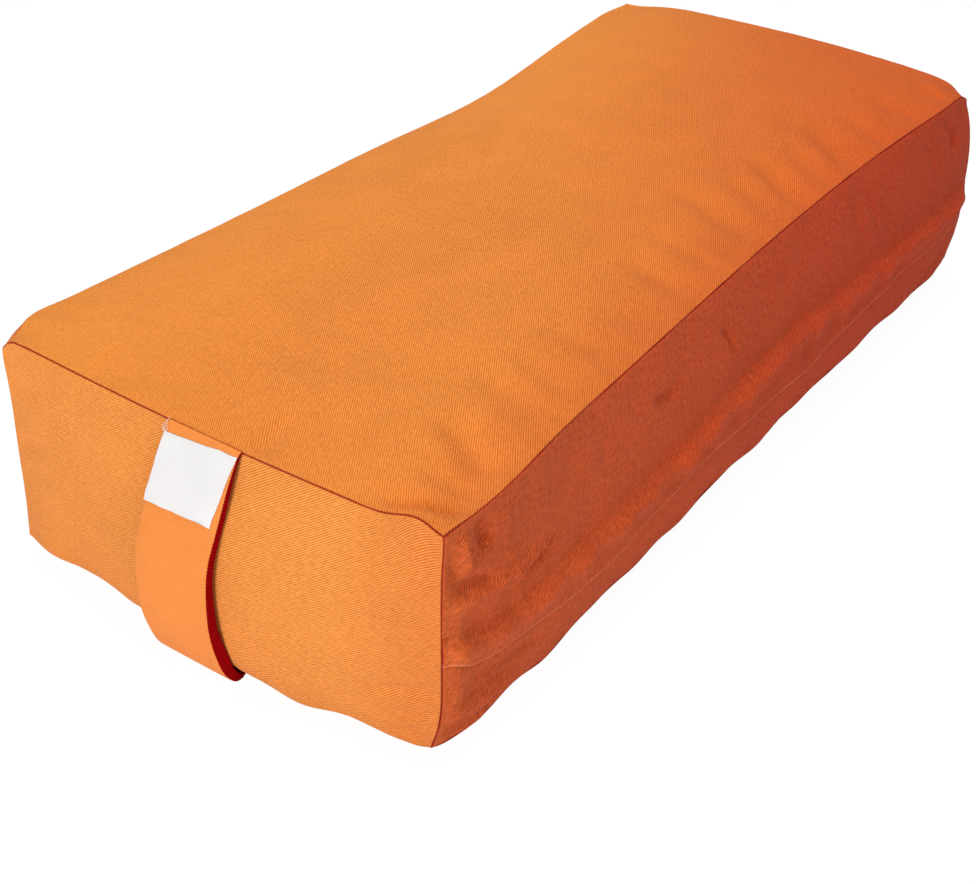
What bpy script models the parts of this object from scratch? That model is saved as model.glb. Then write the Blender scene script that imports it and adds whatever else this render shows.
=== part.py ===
"""Rectangular yoga bolster with a zipped cover, a webbing handle and a stuffed inner case.

Metres, +Z up. X is the width (zip side at +X), Y is the length (handle end at -Y).
The origin is on the floor, under the middle of the cushion.
"""
import math

import bmesh
import bpy
from mathutils import Matrix, Vector

# Overall size of the cushion, taken along its seams
seam_half_length = 0.330
seam_half_width = 0.150
base_flare = 0.0025
seam_height_top = 0.1515
seam_height_bottom = 0.011

# How far the stuffing pushes each face out past its seams, at the fullest place
side_swell = 0.010
end_swell = 0.017
crown_height = 0.0135
base_sag = 0.016
side_full_half_width = seam_half_width + side_swell
end_full_half_length = seam_half_length + end_swell

# How the stuffing bends the seams themselves
side_seam_rise = 0.003
top_draw_in = 0.0105
bottom_draw_in = 0.003
end_bow_top = 0.004
end_bow_bottom = 0.006

# Shares that shape the swell of each face
waist_skew_share = 0.9
full_height_share = -0.25
side_swell_power = 2.6
side_swell_lean_share = 0.31
side_end_power = 10.0
end_corner_power = 3.4
crown_power_across = 3.2
crown_power_along = 4.2
base_power_across = 4.0
base_power_along = 5.0

# Cover cloth and its seams
cloth_thickness = 0.001
seam_allowance = 0.008
seam_gap = 0.0003
groove_depth = 0.002
groove_half_width = 0.003
allowance_corner_room = 0.002

# Zip in the +X side, hidden by a flap
zip_height = 0.0635
zip_end_inset = 0.018
zip_half_length = seam_half_length - zip_end_inset
zip_depth = 0.009
tape_thickness = 0.0006
tape_width = 0.014
tape_columns = 14
coil_radius = 0.0011
coil_middle_gap = 0.0012
coil_to_tape_gap = 0.0003
stop_length = 0.003
stop_inset = 0.016
flap_root_above_zip = 0.0145
flap_edge_below_zip = 0.0135
flap_root_height = zip_height + flap_root_above_zip
flap_edge_height = zip_height - flap_edge_below_zip
flap_end_inset = 0.0045
flap_half_length = seam_half_length - flap_end_inset
flap_end_rise = 0.012
flap_end_power = 20.0
flap_axis_stand_off = 0.0008
flap_thickness = 0.0014
flap_gap = 0.0004
cloth_to_tape_gap = 0.0004
strip_edge_below_zip = 0.0063
tuck_end_power = 60.0

# Zip slider and its pull tab
slider_length = 0.011
slider_width = 0.0096
slider_wing_thickness = 0.0011
slider_wing_gap = 0.0030
slider_lip_drop = 0.0009
slider_lip_width = 0.0012
slider_web_thickness = 0.0006
slider_web_length = 0.003
slider_end_room = 0.0015
bail_length = 0.0066
bail_width = 0.0022
bail_post_length = 0.0011
bail_inner_height = 0.0018
bail_top_thickness = 0.0007
pin_diameter = 0.0011
pull_length = 0.017
pull_width = 0.0052
pull_arm_width = 0.001
pull_thickness = 0.0011
pull_body_start = 0.0042
zip_edge_round = 0.0003

# Webbing handle on the -Y end
webbing_width = 0.050
webbing_thickness = 0.0018
handle_bow = 0.0313
handle_low_height = 0.003
handle_groove_share = 0.037
upper_tail_length = 0.056
lower_tail_length = 0.022
handle_cut_gap = 0.0004

# Blank cloth label on the handle
label_start = 0.0075
label_length = 0.044
label_width = 0.049
label_thickness = 0.0004
label_gap = 0.0003

# Stuffed inner case
case_gap = 0.003
case_zip_gap = 0.0125
case_thickness = 0.0008
case_round_power = 8.0
slot_half_share = 0.04
slot_facing_share = 0.5
filling_gap = 0.0015

# Places of the mesh lines, as shares of each half size
shares_across = (0.0, 0.22, 0.44, 0.64, 0.82, 0.93)
shares_along = (0.0, 0.14, 0.28, 0.42, 0.56, 0.70, 0.82, 0.90, 0.957)
shares_upright = (0.17, 0.5, 0.8)
flap_rows = 4
flap_columns = 16
strip_tuck_shares = (0.0, 0.38, 0.72, 1.0)
case_shares_across = (0.35, 0.7)
case_shares_along = (0.0, 0.3, 0.6, 0.84)
case_shares_upright = (slot_half_share, 0.55)

# Handle's side view: (stand-off share, height share) from the top seam to the bottom seam
handle_outline_shares = (
    (0.05, 1.006),
    (0.16, 0.988),
    (0.37, 0.90),
    (0.63, 0.74),
    (0.86, 0.62),
    (0.96, 0.535),
    (1.0, 0.425),
    (0.98, 0.31),
    (0.87, 0.20),
    (0.68, 0.085),
    (0.43, 0.012),
    (0.26, 0.0),
    (0.17, 0.012),
    (0.144, handle_groove_share),
)
handle_samples_per_span = 12
handle_moving_rows = 16
handle_upper_rows = 9
handle_lower_rows = 5
label_rows = 6
webbing_columns = 2
bar_sides = 10
smooth_limit_degrees = 50
groove_line_reach_share = 1.5

AXES = (Vector((1, 0, 0)), Vector((0, 1, 0)), Vector((0, 0, 1)))
DIAGONAL = math.sqrt(2)


def mix(low, high, share):
    return low + (high - low) * share


def remove_everything():
    for item in list(bpy.data.objects):
        bpy.data.objects.remove(item, do_unlink=True)


def new_collection(name):
    collection = bpy.data.collections.new(name)
    bpy.context.scene.collection.children.link(collection)
    return collection


def material(name, color, roughness, metallic=0.0):
    made = bpy.data.materials.new(name)
    made.use_nodes = True
    shader = made.node_tree.nodes["Principled BSDF"]
    shader.inputs["Base Color"].default_value = (*color, 1.0)
    shader.inputs["Roughness"].default_value = roughness
    shader.inputs["Metallic"].default_value = metallic
    return made


# Shape of the stuffed cushion


def waist_share(v):
    """How much of the waist is reached at v, which runs from -1 at the handle end to 1."""
    return (1 - v * v) * (1 + waist_skew_share * v)


def swell_share(w):
    """Side swell at height w, from 0 at the seams to 1 at the fullest height."""
    def raw(height):
        lean = 1 - side_swell_lean_share * height
        return (1 - abs(height) ** side_swell_power) * lean
    return raw(w) / raw(full_height_share)


def side_line(v, w):
    """Distance of the side faces from the middle plane, in the bottom of the seam groove."""
    top = seam_half_width - top_draw_in * waist_share(v)
    bottom = seam_half_width + base_flare - bottom_draw_in * waist_share(v)
    full_share = (full_height_share + 1) / 2
    corner = mix(seam_half_width + base_flare, seam_half_width, full_share)
    full_room = side_full_half_width - groove_depth - corner
    full = corner + full_room * (1 - abs(v) ** side_end_power)
    swell = full - mix(bottom, top, full_share)
    return mix(bottom, top, (w + 1) / 2) + swell * swell_share(w)


def end_line(u, w):
    """Distance of the end faces from the middle plane, in the bottom of the seam groove."""
    top = seam_half_length + end_bow_top * (1 - u * u)
    bottom = seam_half_length + end_bow_bottom * (1 - u * u)
    full_share = (full_height_share + 1) / 2
    full_room = end_full_half_length - groove_depth - seam_half_length
    full = seam_half_length + full_room * (1 - abs(u) ** end_corner_power)
    swell = full - mix(bottom, top, full_share)
    return mix(bottom, top, (w + 1) / 2) + swell * swell_share(w)


def top_height(u, v):
    crown = (1 - abs(u) ** crown_power_across) * (1 - abs(v) ** crown_power_along)
    return seam_height_top + side_seam_rise * (1 - v * v) + crown_height * crown


def base_height(u, v):
    sag = (1 - abs(u) ** base_power_across) * (1 - abs(v) ** base_power_along)
    return max(seam_height_bottom - base_sag * sag, 0.0)


def cushion_point(u, v, w):
    """Point of the cushion at shares u, v and w of its half width, length and height."""
    height = mix(base_height(u, v), top_height(u, v), (w + 1) / 2)
    return Vector((u * side_line(v, w), v * end_line(u, w), height))


def height_to_share(height):
    return 2 * (height - seam_height_bottom) / (seam_height_top - seam_height_bottom) - 1


def side_surface_x(y, height):
    """Outer face of the +X side at a real length y and height."""
    side = side_line(y / seam_half_length, height_to_share(height))
    return side + groove_depth


# Building blocks


def place(name, mesh, origin, look, collection):
    item = bpy.data.objects.new(name, mesh)
    item.location = origin
    item.data.materials.append(look)
    collection.objects.link(item)
    return item


def thicken(item, thickness):
    wall = item.modifiers.new("Cloth thickness", "SOLIDIFY")
    wall.thickness = thickness
    wall.offset = -1.0
    wall.use_rim = True


def sheet(name, point, columns, rows, outward, thickness, look, collection, origin=None):
    """Grid laid by point(column, row) and thickened on the side away from outward."""
    origin = origin or Vector((0, 0, 0))
    grid = bmesh.new()
    bmesh.ops.create_grid(grid, x_segments=len(columns) - 1, y_segments=len(rows) - 1, size=1)
    for vert in grid.verts:
        column = round((vert.co.x + 1) / 2 * (len(columns) - 1))
        row = round((vert.co.y + 1) / 2 * (len(rows) - 1))
        vert.co = point(columns[column], rows[row]) - origin
    grid.normal_update()
    facing = sum((face.normal * face.calc_area() for face in grid.faces), Vector())
    if facing.dot(outward) < 0:
        bmesh.ops.reverse_faces(grid, faces=grid.faces)
    mesh = bpy.data.meshes.new(name)
    grid.to_mesh(mesh)
    grid.free()
    mesh.shade_smooth()
    item = place(name, mesh, origin, look, collection)
    thicken(item, thickness)
    return item


def box(name, low, high, origin, look, collection, edge_round=0.0):
    """Box between two corners, in coordinates from origin."""
    size = high - low
    block = bmesh.new()
    bmesh.ops.create_cube(block, size=1)
    bmesh.ops.scale(block, vec=size, verts=block.verts)
    bmesh.ops.translate(block, vec=(low + high) / 2, verts=block.verts)
    mesh = bpy.data.meshes.new(name)
    block.to_mesh(mesh)
    block.free()
    item = place(name, mesh, origin, look, collection)
    if edge_round > 0:
        softened = item.modifiers.new("Edge round", "BEVEL")
        softened.width = edge_round
        softened.segments = 1
    return item


def rod(name, radius, start, end, origin, look, collection):
    """Round bar between two points, in coordinates from origin."""
    run = end - start
    turn = Vector((0, 0, 1)).rotation_difference(run).to_matrix().to_4x4()
    bar = bmesh.new()
    bmesh.ops.create_cone(bar, cap_ends=True, segments=bar_sides, radius1=radius,
                          radius2=radius, depth=run.length,
                          matrix=Matrix.Translation((start + end) / 2) @ turn)
    mesh = bpy.data.meshes.new(name)
    bar.to_mesh(mesh)
    bar.free()
    item = place(name, mesh, origin, look, collection)
    item.data.shade_smooth()
    item.data.set_sharp_from_angle(angle=math.radians(smooth_limit_degrees))
    return item


def unite(base, others):
    """Join the other shapes onto base with Boolean unions."""
    for other in others:
        other.hide_render = True
        other.display_type = "WIRE"
        joined = base.modifiers.new("Join " + other.name, "BOOLEAN")
        joined.operation = "UNION"
        joined.solver = "EXACT"
        joined.object = other


# Cover panels with their seam allowances


def mirrored(shares):
    """All shares from -1 to 1 for a symmetric panel."""
    positive = [share for share in shares if share > 0]
    middle = [0.0] if 0.0 in shares else []
    return [-share for share in reversed(positive)] + middle + positive


def panel_lines(shares, groove_share, low=True, high=True):
    """Mesh lines across a panel: (share, allowance side), with groove lines by each seam."""
    lines = [(share, 0) for share in shares]
    if low:
        lines = [(-1.0, -1), (-1.0, 0), (groove_share - 1.0, 0)] + lines
    if high:
        lines = lines + [(1.0 - groove_share, 0), (1.0, 0), (1.0, 1)]
    return lines


def groove_share_of(half_size):
    return groove_half_width / half_size


def panel_point(facing, sign, across, along, dip=None):
    """Point of the panel on one side of the cushion.

    facing is the axis the panel faces (0, 1 or 2) and sign its direction; across and along are
    (axis, (share, allowance side)). An allowance turns into the cushion half way between the two
    faces that meet at its seam, and stops short of the corner.
    """
    shares = [0.0, 0.0, 0.0]
    shares[facing] = sign
    for axis, (share, side) in (across, along):
        shares[axis] = share
    point = cushion_point(*shares)
    normal = AXES[facing] * sign
    on_seam = [abs(share) == 1.0 for axis, (share, side) in (across, along)]
    if not any(on_seam):
        point += normal * groove_depth
        if dip:
            point -= normal * dip(shares)
        point.z = max(point.z, 0.0)
        return point
    turn_in = seam_allowance / DIAGONAL
    lines = (across, along)
    for index, (axis, (share, side)) in enumerate(lines):
        other_axis, (other_share, other_side) = lines[1 - index]
        neighbour = AXES[axis] * math.copysign(1, share)
        if on_seam[index]:
            point += (normal - neighbour) * (seam_gap / 2 / DIAGONAL)
        if side:
            point -= neighbour * turn_in
        near_corner = abs(other_share) < 1.0 and abs(share) == 1.0 and is_groove_line(
            other_axis, other_share)
        if near_corner and side:
            inward = AXES[other_axis] * math.copysign(1, other_share)
            point -= inward * (turn_in + allowance_corner_room)
    sides = [side for axis, (share, side) in lines]
    if any(sides):
        point -= normal * turn_in
    if all(on_seam):
        for index, (axis, (share, side)) in enumerate(lines):
            if sides[1 - index]:
                extra = allowance_corner_room if sides[index] else (
                    turn_in + allowance_corner_room)
                point -= AXES[axis] * math.copysign(1, share) * extra
    return point


def is_groove_line(axis, share):
    half_sizes = (seam_half_width, seam_half_length,
                  (seam_height_top - seam_height_bottom) / 2)
    return abs(share) > 1.0 - groove_share_of(half_sizes[axis]) * groove_line_reach_share


def cover_panel(name, facing, sign, axes, lines, look, collection, dip=None):
    """One sewn panel of the cover, facing along one axis."""
    def point(column, row):
        return panel_point(facing, sign, (axes[0], column), (axes[1], row), dip)
    return sheet(name, point, lines[0], lines[1], AXES[facing] * sign, cloth_thickness, look,
                 collection)


def make_cover(look, collection):
    half_height = (seam_height_top - seam_height_bottom) / 2
    across = panel_lines(mirrored(shares_across), groove_share_of(seam_half_width))
    along = panel_lines(mirrored(shares_along), groove_share_of(seam_half_length))
    groove_upright = groove_share_of(half_height)
    upright = panel_lines(mirrored(shares_upright), groove_upright)
    cover_panel("cover_top_panel", 2, 1, (0, 1), (across, along), look, collection)
    cover_panel("cover_bottom_panel", 2, -1, (0, 1), (across, along), look, collection)
    cover_panel("cover_front_end_panel", 1, -1, (0, 2), (across, upright), look, collection)
    cover_panel("cover_rear_end_panel", 1, 1, (0, 2), (across, upright), look, collection)
    cover_panel("cover_left_side_panel", 0, -1, (1, 2), (along, upright), look, collection)

    root_share = height_to_share(flap_root_height + flap_gap)
    above_root = [share for share in mirrored(shares_upright) if share > root_share]
    upper = panel_lines([root_share] + above_root, groove_upright, low=False)
    cover_panel("cover_right_side_panel", 0, 1, (1, 2), (along, upper), look, collection)

    edge_share = height_to_share(flap_edge_height)
    tuck_end_share = height_to_share(zip_height - strip_edge_below_zip)
    tuck_start_share = 2 * edge_share - tuck_end_share
    tuck_rows = [mix(tuck_start_share, tuck_end_share, share) for share in strip_tuck_shares]
    below = [share for share in mirrored(shares_upright) if share < tuck_start_share]
    lower = panel_lines(below + tuck_rows, groove_upright, high=False)

    tucked_x = zip_plane_x() + tape_thickness / 2 + cloth_to_tape_gap + cloth_thickness

    def tuck(shares):
        """Depth to which the strip's upper edge is tucked in behind the flap."""
        risen = (shares[2] - tuck_start_share) / (tuck_end_share - tuck_start_share)
        depth = side_line(shares[1], shares[2]) + groove_depth - tucked_x
        along_room = 1 - abs(shares[1]) ** tuck_end_power
        return depth * along_room * math.sin(max(risen, 0.0) * math.pi / 2)

    cover_panel("cover_zip_lower_strip", 0, 1, (1, 2), (along, lower), look, collection, tuck)


# Zip and its flap


def make_flap(look, collection):
    """Doubled cloth flap over the zip, hinged along its straight upper line."""
    origin = Vector((side_full_half_width + flap_axis_stand_off, 0, flap_root_height))
    columns = [flap_half_length * math.sin(mix(-1, 1, step / flap_columns) * math.pi / 2)
               for step in range(flap_columns + 1)]
    rows = [step / flap_rows for step in range(flap_rows + 1)]

    def point(y, share):
        edge_rise = flap_end_rise * abs(y / flap_half_length) ** flap_end_power
        height = mix(flap_edge_height + edge_rise, flap_root_height - flap_gap, share)
        return Vector((side_surface_x(y, height), y, height))

    sheet("zip_flap", point, columns, rows, AXES[0], flap_thickness, look, collection, origin)


def zip_plane_x():
    return side_full_half_width - zip_depth


def make_tapes(look, collection):
    """Two woven tapes, each running from its coil to the cloth it is sewn to."""
    inner_edge = coil_middle_gap / 2 + 2 * coil_radius + coil_to_tape_gap
    face_x = zip_plane_x() + tape_thickness / 2
    columns = [mix(-zip_half_length, zip_half_length, step / tape_columns)
               for step in range(tape_columns + 1)]

    def flat_point(y, rise):
        return Vector((face_x, y, zip_height + rise))

    def turned_out_point(y, rise):
        point = flat_point(y, rise)
        if rise > inner_edge + tape_width / 2:
            point.x = side_surface_x(y, point.z) - cloth_thickness - cloth_to_tape_gap
        return point

    upper_rows = (inner_edge, inner_edge + tape_width / 2, inner_edge + tape_width)
    sheet("zip_tape_upper", turned_out_point, columns, upper_rows, AXES[0], tape_thickness, look,
          collection)
    sheet("zip_tape_lower", flat_point, columns, (-inner_edge - tape_width, -inner_edge),
          AXES[0], tape_thickness, look, collection)


def coil_half_length():
    return slider_travel() / 2 + slider_length / 2 + slider_end_room


def slider_travel():
    """Distance the slider can run between the two end stops."""
    ends = stop_length + stop_inset + slider_end_room
    return 2 * (zip_half_length - ends) - slider_length


def make_coils(look, collection):
    """The two coils, as plain round bars on either side of the closed chain's middle."""
    offset = coil_middle_gap / 2 + coil_radius
    for name, side in (("zip_coil_upper", 1), ("zip_coil_lower", -1)):
        height = zip_height + side * offset
        start = Vector((zip_plane_x(), -coil_half_length(), height))
        end = Vector((zip_plane_x(), coil_half_length(), height))
        rod(name, coil_radius, start, end, Vector((0, 0, 0)), look, collection)


def make_stops(look, collection):
    half_height = coil_middle_gap / 2 + 2 * coil_radius
    start = coil_half_length() + coil_to_tape_gap
    for name, side in (("zip_front_stop", -1), ("zip_rear_stop", 1)):
        middle = Vector((zip_plane_x(), side * (start + stop_length / 2), zip_height))
        reach = Vector((coil_radius, stop_length / 2, half_height))
        box(name, -reach, reach, middle, look, collection, zip_edge_round)


def slider_origin():
    return Vector((zip_plane_x(), slider_travel() / 2, zip_height))


def pin_offset():
    """Height of the pull's pin over the middle of the chain."""
    return slider_wing_gap / 2 + slider_wing_thickness + bail_inner_height / 2


def make_slider(look, collection, cutters):
    """Slider body: two wings joined by a web at one end, with a bail for the pull."""
    origin = slider_origin()
    inner = slider_wing_gap / 2
    outer = inner + slider_wing_thickness
    half_width = slider_width / 2
    half_length = slider_length / 2
    overlap = slider_wing_thickness / 2
    slider = box("zip_slider", Vector((inner, -half_length, -half_width)),
                 Vector((outer, half_length, half_width)), origin, look, collection)
    back = box("slider_back_wing", Vector((-outer, -half_length, -half_width)),
               Vector((-inner, half_length, half_width)), origin, look, cutters)
    web_half = slider_web_thickness / 2
    web = box("slider_web", Vector((-inner - overlap, half_length - slider_web_length, -web_half)),
              Vector((inner + overlap, half_length, web_half)), origin, look, cutters)
    parts = [web, back]
    for side in (-1, 1):
        for wing in (-1, 1):
            edge = side * half_width
            lip_depth = (inner - slider_lip_drop, inner + overlap)
            low = Vector((min(wing * lip_depth[0], wing * lip_depth[1]), -half_length,
                          min(edge, edge - side * slider_lip_width)))
            high = Vector((max(wing * lip_depth[0], wing * lip_depth[1]), half_length,
                           max(edge, edge - side * slider_lip_width)))
            parts.append(box("slider_lip", low, high, origin, look, cutters))
    half_bail = bail_length / 2
    bail_half_width = bail_width / 2
    bail_top = outer + bail_inner_height + bail_top_thickness
    for side in (-1, 1):
        post_y = (side * half_bail, side * (half_bail - bail_post_length))
        low = Vector((outer - overlap, min(post_y), -bail_half_width))
        high = Vector((bail_top - overlap, max(post_y), bail_half_width))
        parts.append(box("bail_post", low, high, origin, look, cutters))
    parts.append(box("bail_top", Vector((bail_top - bail_top_thickness, -half_bail,
                                         -bail_half_width)),
                     Vector((bail_top, half_bail, bail_half_width)), origin, look, cutters))
    unite(slider, parts)
    return slider


def make_pull(look, collection, cutters, slider):
    """Pull tab that swings on a pin under the bail."""
    origin = Vector((pin_offset(), 0, 0))
    world = slider_origin() + origin
    half_thick = pull_thickness / 2
    half_width = pull_width / 2
    tab = box("zip_pull_tab", Vector((-half_thick, -pull_length, -half_width)),
              Vector((half_thick, -pull_body_start, half_width)), origin, look, collection)
    parts = []
    overlap = pull_thickness
    for side in (-1, 1):
        arm_z = (side * half_width, side * (half_width - pull_arm_width))
        low = Vector((-half_thick, -pull_body_start - overlap, min(arm_z)))
        high = Vector((half_thick, pin_diameter / 2, max(arm_z)))
        parts.append(box("pull_arm", low, high, world, look, cutters))
    pin_end = Vector((0, 0, half_width - pull_arm_width / 2))
    parts.append(rod("pull_pin", pin_diameter / 2, -pin_end, pin_end, world, look, cutters))
    unite(tab, parts)
    tab.parent = slider
    return tab


# Handle and label


def catmull_rom(before, start, end, after, share):
    squared = share * share
    cubed = squared * share
    return (start * 2 + (end - before) * share
            + (before * 2 - start * 5 + end * 4 - after) * squared
            + (start * 3 - before - end * 3 + after) * cubed) / 2


def handle_path():
    """Side view of the webbing as close points (y, z), from the top seam to the bottom seam."""
    seam_y = -end_line(0.0, 1.0)
    corners = []
    for stand_off, rise in handle_outline_shares:
        height = mix(handle_low_height, seam_height_top, rise)
        corners.append(Vector((seam_y - handle_bow * stand_off, height)))
    padded = [corners[0] * 2 - corners[1]] + corners + [corners[-1] * 2 - corners[-2]]
    path = []
    for span in range(len(corners) - 1):
        for step in range(handle_samples_per_span):
            share = step / handle_samples_per_span
            path.append(catmull_rom(*padded[span:span + 4], share))
    path.append(corners[-1])
    return path


def walk(path, distance):
    """Point and direction at a distance along the path."""
    for start, end in zip(path, path[1:]):
        step = (end - start).length
        if distance <= step or end is path[-1]:
            heading = (end - start).normalized()
            return start + heading * distance, heading
        distance -= step


def path_length(path):
    return sum((end - start).length for start, end in zip(path, path[1:]))


def webbing_piece(name, start, end, rows, width, thickness, lift, look, collection, path):
    """Length of webbing or label that follows the handle's path, its face lifted off it."""
    columns = [mix(-width / 2, width / 2, step / webbing_columns)
               for step in range(webbing_columns + 1)]
    distances = [mix(start, end, step / rows) for step in range(rows + 1)]

    def point(x, distance):
        spot, heading = walk(path, distance)
        outward = Vector((heading.y, -heading.x))
        spot = spot + outward * lift
        return Vector((x, spot.x, spot.y))

    return sheet(name, point, columns, distances, -AXES[1], thickness, look, collection)


def make_handle(look, label_look, collection):
    path = handle_path()
    total = path_length(path)
    face = webbing_thickness / 2
    lower_cut = total - lower_tail_length
    webbing_piece("handle_tail_upper", 0.0, upper_tail_length, handle_upper_rows, webbing_width,
                  webbing_thickness, face, look, collection, path)
    webbing_piece("handle_strap", upper_tail_length + handle_cut_gap, lower_cut - handle_cut_gap,
                  handle_moving_rows, webbing_width, webbing_thickness, face, look, collection,
                  path)
    webbing_piece("handle_tail_lower", lower_cut, total, handle_lower_rows, webbing_width,
                  webbing_thickness, face, look, collection, path)
    webbing_piece("handle_label", label_start, label_start + label_length, label_rows,
                  label_width, label_thickness, face + label_gap + label_thickness, label_look,
                  collection, path)


# Inner case and filling


def stuffed_block(name, side_inset, zip_inset, slot, look, collection):
    """Closed rounded form that follows the cushion's shape inside the cover."""
    block = bmesh.new()
    bmesh.ops.create_cube(block, size=2)
    cuts = (mirrored(case_shares_across), mirrored(case_shares_along),
            mirrored(case_shares_upright))
    for axis, shares in zip(AXES, cuts):
        for share in shares:
            geometry = block.verts[:] + block.edges[:] + block.faces[:]
            bmesh.ops.bisect_plane(block, geom=geometry, plane_co=axis * share, plane_no=axis)
    if slot:
        opening = [face for face in block.faces if is_slot_face(face)]
        bmesh.ops.delete(block, geom=opening, context="FACES")
    for vert in block.verts:
        vert.co = inner_point(vert.co, side_inset, zip_inset)
    mesh = bpy.data.meshes.new(name)
    block.normal_update()
    block.to_mesh(mesh)
    block.free()
    mesh.shade_smooth()
    return place(name, mesh, Vector((0, 0, 0)), look, collection)


def is_slot_face(face):
    """Faces of the narrow filling slot in the rear end."""
    middle = face.calc_center_median()
    return (middle.y > case_shares_along[-1] and abs(middle.z) < slot_half_share
            and abs(middle.x) < case_shares_across[-1] and abs(face.normal.y) > slot_facing_share)


def inner_point(shares, side_inset, zip_inset):
    """Rounded inner form: shares of the cushion, drawn in by an inset on every face."""
    total = sum(abs(share) ** case_round_power for share in shares)
    u, v, w = shares / total ** (1 / case_round_power)
    side = side_line(v, w) + groove_depth
    end = end_line(u, w) + groove_depth - side_inset
    low = base_height(u, v) + side_inset
    high = top_height(u, v) + groove_depth - side_inset
    x = mix(side_inset - side, side - zip_inset, (u + 1) / 2)
    return Vector((x, v * end, mix(low, high, (w + 1) / 2)))


def make_insert(case_look, filling_look, collection):
    case_inset = cloth_thickness + case_gap
    case_zip_inset = cloth_thickness + case_zip_gap
    case = stuffed_block("inner_case", case_inset, case_zip_inset, True, case_look, collection)
    thicken(case, case_thickness)
    step_in = case_thickness + filling_gap
    stuffed_block("filling_core", case_inset + step_in, case_zip_inset + step_in, False,
                  filling_look, collection)


def main():
    remove_everything()
    parts = new_collection("Rectangular yoga bolster")
    cutters = new_collection("Cutters")
    twill = material("Orange cotton twill", (0.78, 0.22, 0.045), 0.85)
    webbing = material("Orange cotton webbing", (0.74, 0.20, 0.04), 0.88)
    label = material("White satin label", (0.86, 0.86, 0.85), 0.45)
    tape = material("Orange zip tape", (0.60, 0.15, 0.03), 0.8)
    nylon = material("Orange nylon coil", (0.62, 0.16, 0.03), 0.4)
    metal = material("Painted zinc slider", (0.55, 0.14, 0.03), 0.35, 0.3)
    calico = material("Undyed calico", (0.80, 0.74, 0.62), 0.9)
    batting = material("Cotton batting", (0.88, 0.85, 0.78), 0.95)
    make_cover(twill, parts)
    make_flap(twill, parts)
    make_tapes(tape, parts)
    make_coils(nylon, parts)
    make_stops(nylon, parts)
    slider = make_slider(metal, parts, cutters)
    make_pull(metal, parts, cutters, slider)
    make_handle(webbing, label, parts)
    make_insert(calico, batting, parts)


main()
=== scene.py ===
"""Looks for the rectangular yoga bolster: sewn twill cover, webbing handle, zip and stuffed insert.

Metres, +Z up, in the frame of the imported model: +X is the zipped side, -Y the handle end.
"""
import math

import bpy
import numpy as np
from mathutils import Matrix, Vector


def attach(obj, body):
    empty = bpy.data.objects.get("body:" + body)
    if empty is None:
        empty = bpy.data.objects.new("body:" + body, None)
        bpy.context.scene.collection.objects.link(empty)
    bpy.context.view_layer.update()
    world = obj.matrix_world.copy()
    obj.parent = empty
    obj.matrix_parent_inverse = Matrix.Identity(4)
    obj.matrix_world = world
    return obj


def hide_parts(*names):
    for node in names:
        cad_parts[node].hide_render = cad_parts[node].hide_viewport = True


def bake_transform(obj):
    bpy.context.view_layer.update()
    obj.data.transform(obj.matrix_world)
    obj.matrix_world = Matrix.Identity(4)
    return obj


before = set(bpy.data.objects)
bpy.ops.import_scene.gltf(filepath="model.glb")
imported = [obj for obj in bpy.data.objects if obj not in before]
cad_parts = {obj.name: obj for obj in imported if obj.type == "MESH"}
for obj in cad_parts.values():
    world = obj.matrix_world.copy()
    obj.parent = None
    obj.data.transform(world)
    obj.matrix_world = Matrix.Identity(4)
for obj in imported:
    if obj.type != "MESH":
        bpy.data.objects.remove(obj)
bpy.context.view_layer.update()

# Size of the cushion along its seams, as in the part's source
seam_half_length = 0.330
seam_half_width = 0.150
base_flare = 0.0025
seam_height_top = 0.1515
seam_height_bottom = 0.011
side_full_half_width = 0.160
end_full_half_length = 0.347
crown_height = 0.0135
base_sag = 0.016
side_seam_rise = 0.003
top_draw_in = 0.0105
bottom_draw_in = 0.003
end_bow_top = 0.004
end_bow_bottom = 0.006
waist_skew_share = 0.9
full_height_share = -0.25
side_swell_power = 2.6
side_swell_lean_share = 0.31
side_end_power = 10.0
end_corner_power = 3.4
crown_power_across = 3.2
crown_power_along = 4.2
base_power_across = 4.0
base_power_along = 5.0
cloth_thickness = 0.001
groove_depth = 0.002

# Mesh of the cloth
fine_step = 0.00035
step_growth = 1.45
coarse_step = 0.003
plain_step = 0.005
seam_roll = 0.0005
seam_depth = 0.0008
hem_depth = 0.004
# Distance from a seam for cloth that is near none
no_seam = 0.05

# Twill of the cover: pitch of its ribs and their direction on each panel, in degrees
rib_pitch = 0.0012
yarn_pitch = 0.0009
rib_angle_top = 120.0
rib_angle_end = 34.0
rib_angle_side = 33.0

# Painted shade: the cloth is drawn darker and redder towards the far right of the cover, where less light
# falls
shade_falloff_heading = (1.20, 0.60, 0.0)
shade_falloff_start = -0.06
shade_falloff_end = 0.30
painted_falloff_shade_tint = (0.88, 0.55, 0.52, 1)
# Painted shade again close to the zipped side: darker and redder where the top turns away from the light
side_shade_start = 0.085
side_shade_end = 0.152
painted_side_shade_tint = (0.95, 0.82, 0.82, 1)
# Weave that shows less towards the left edge, in its colour and its relief
smooth_start = -0.150
smooth_end = 0.020
smooth_share = 0.40
# Painted light across one panel: axis, where it is full, where it ends, tint
# Painted light: the top is lighter and yellower towards its left edge
painted_left_light = (0, smooth_start, smooth_end, (1.02, 1.12, 1.14, 1))
# Painted light: the side is lighter and more orange beside the near corner, where the front light reaches
# it
painted_corner_light = (1, -0.334, -0.300, (1.06, 1.20, 1.0, 1))
no_change = (0, 0.5, 0.6, (1, 1, 1, 1))

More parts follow.
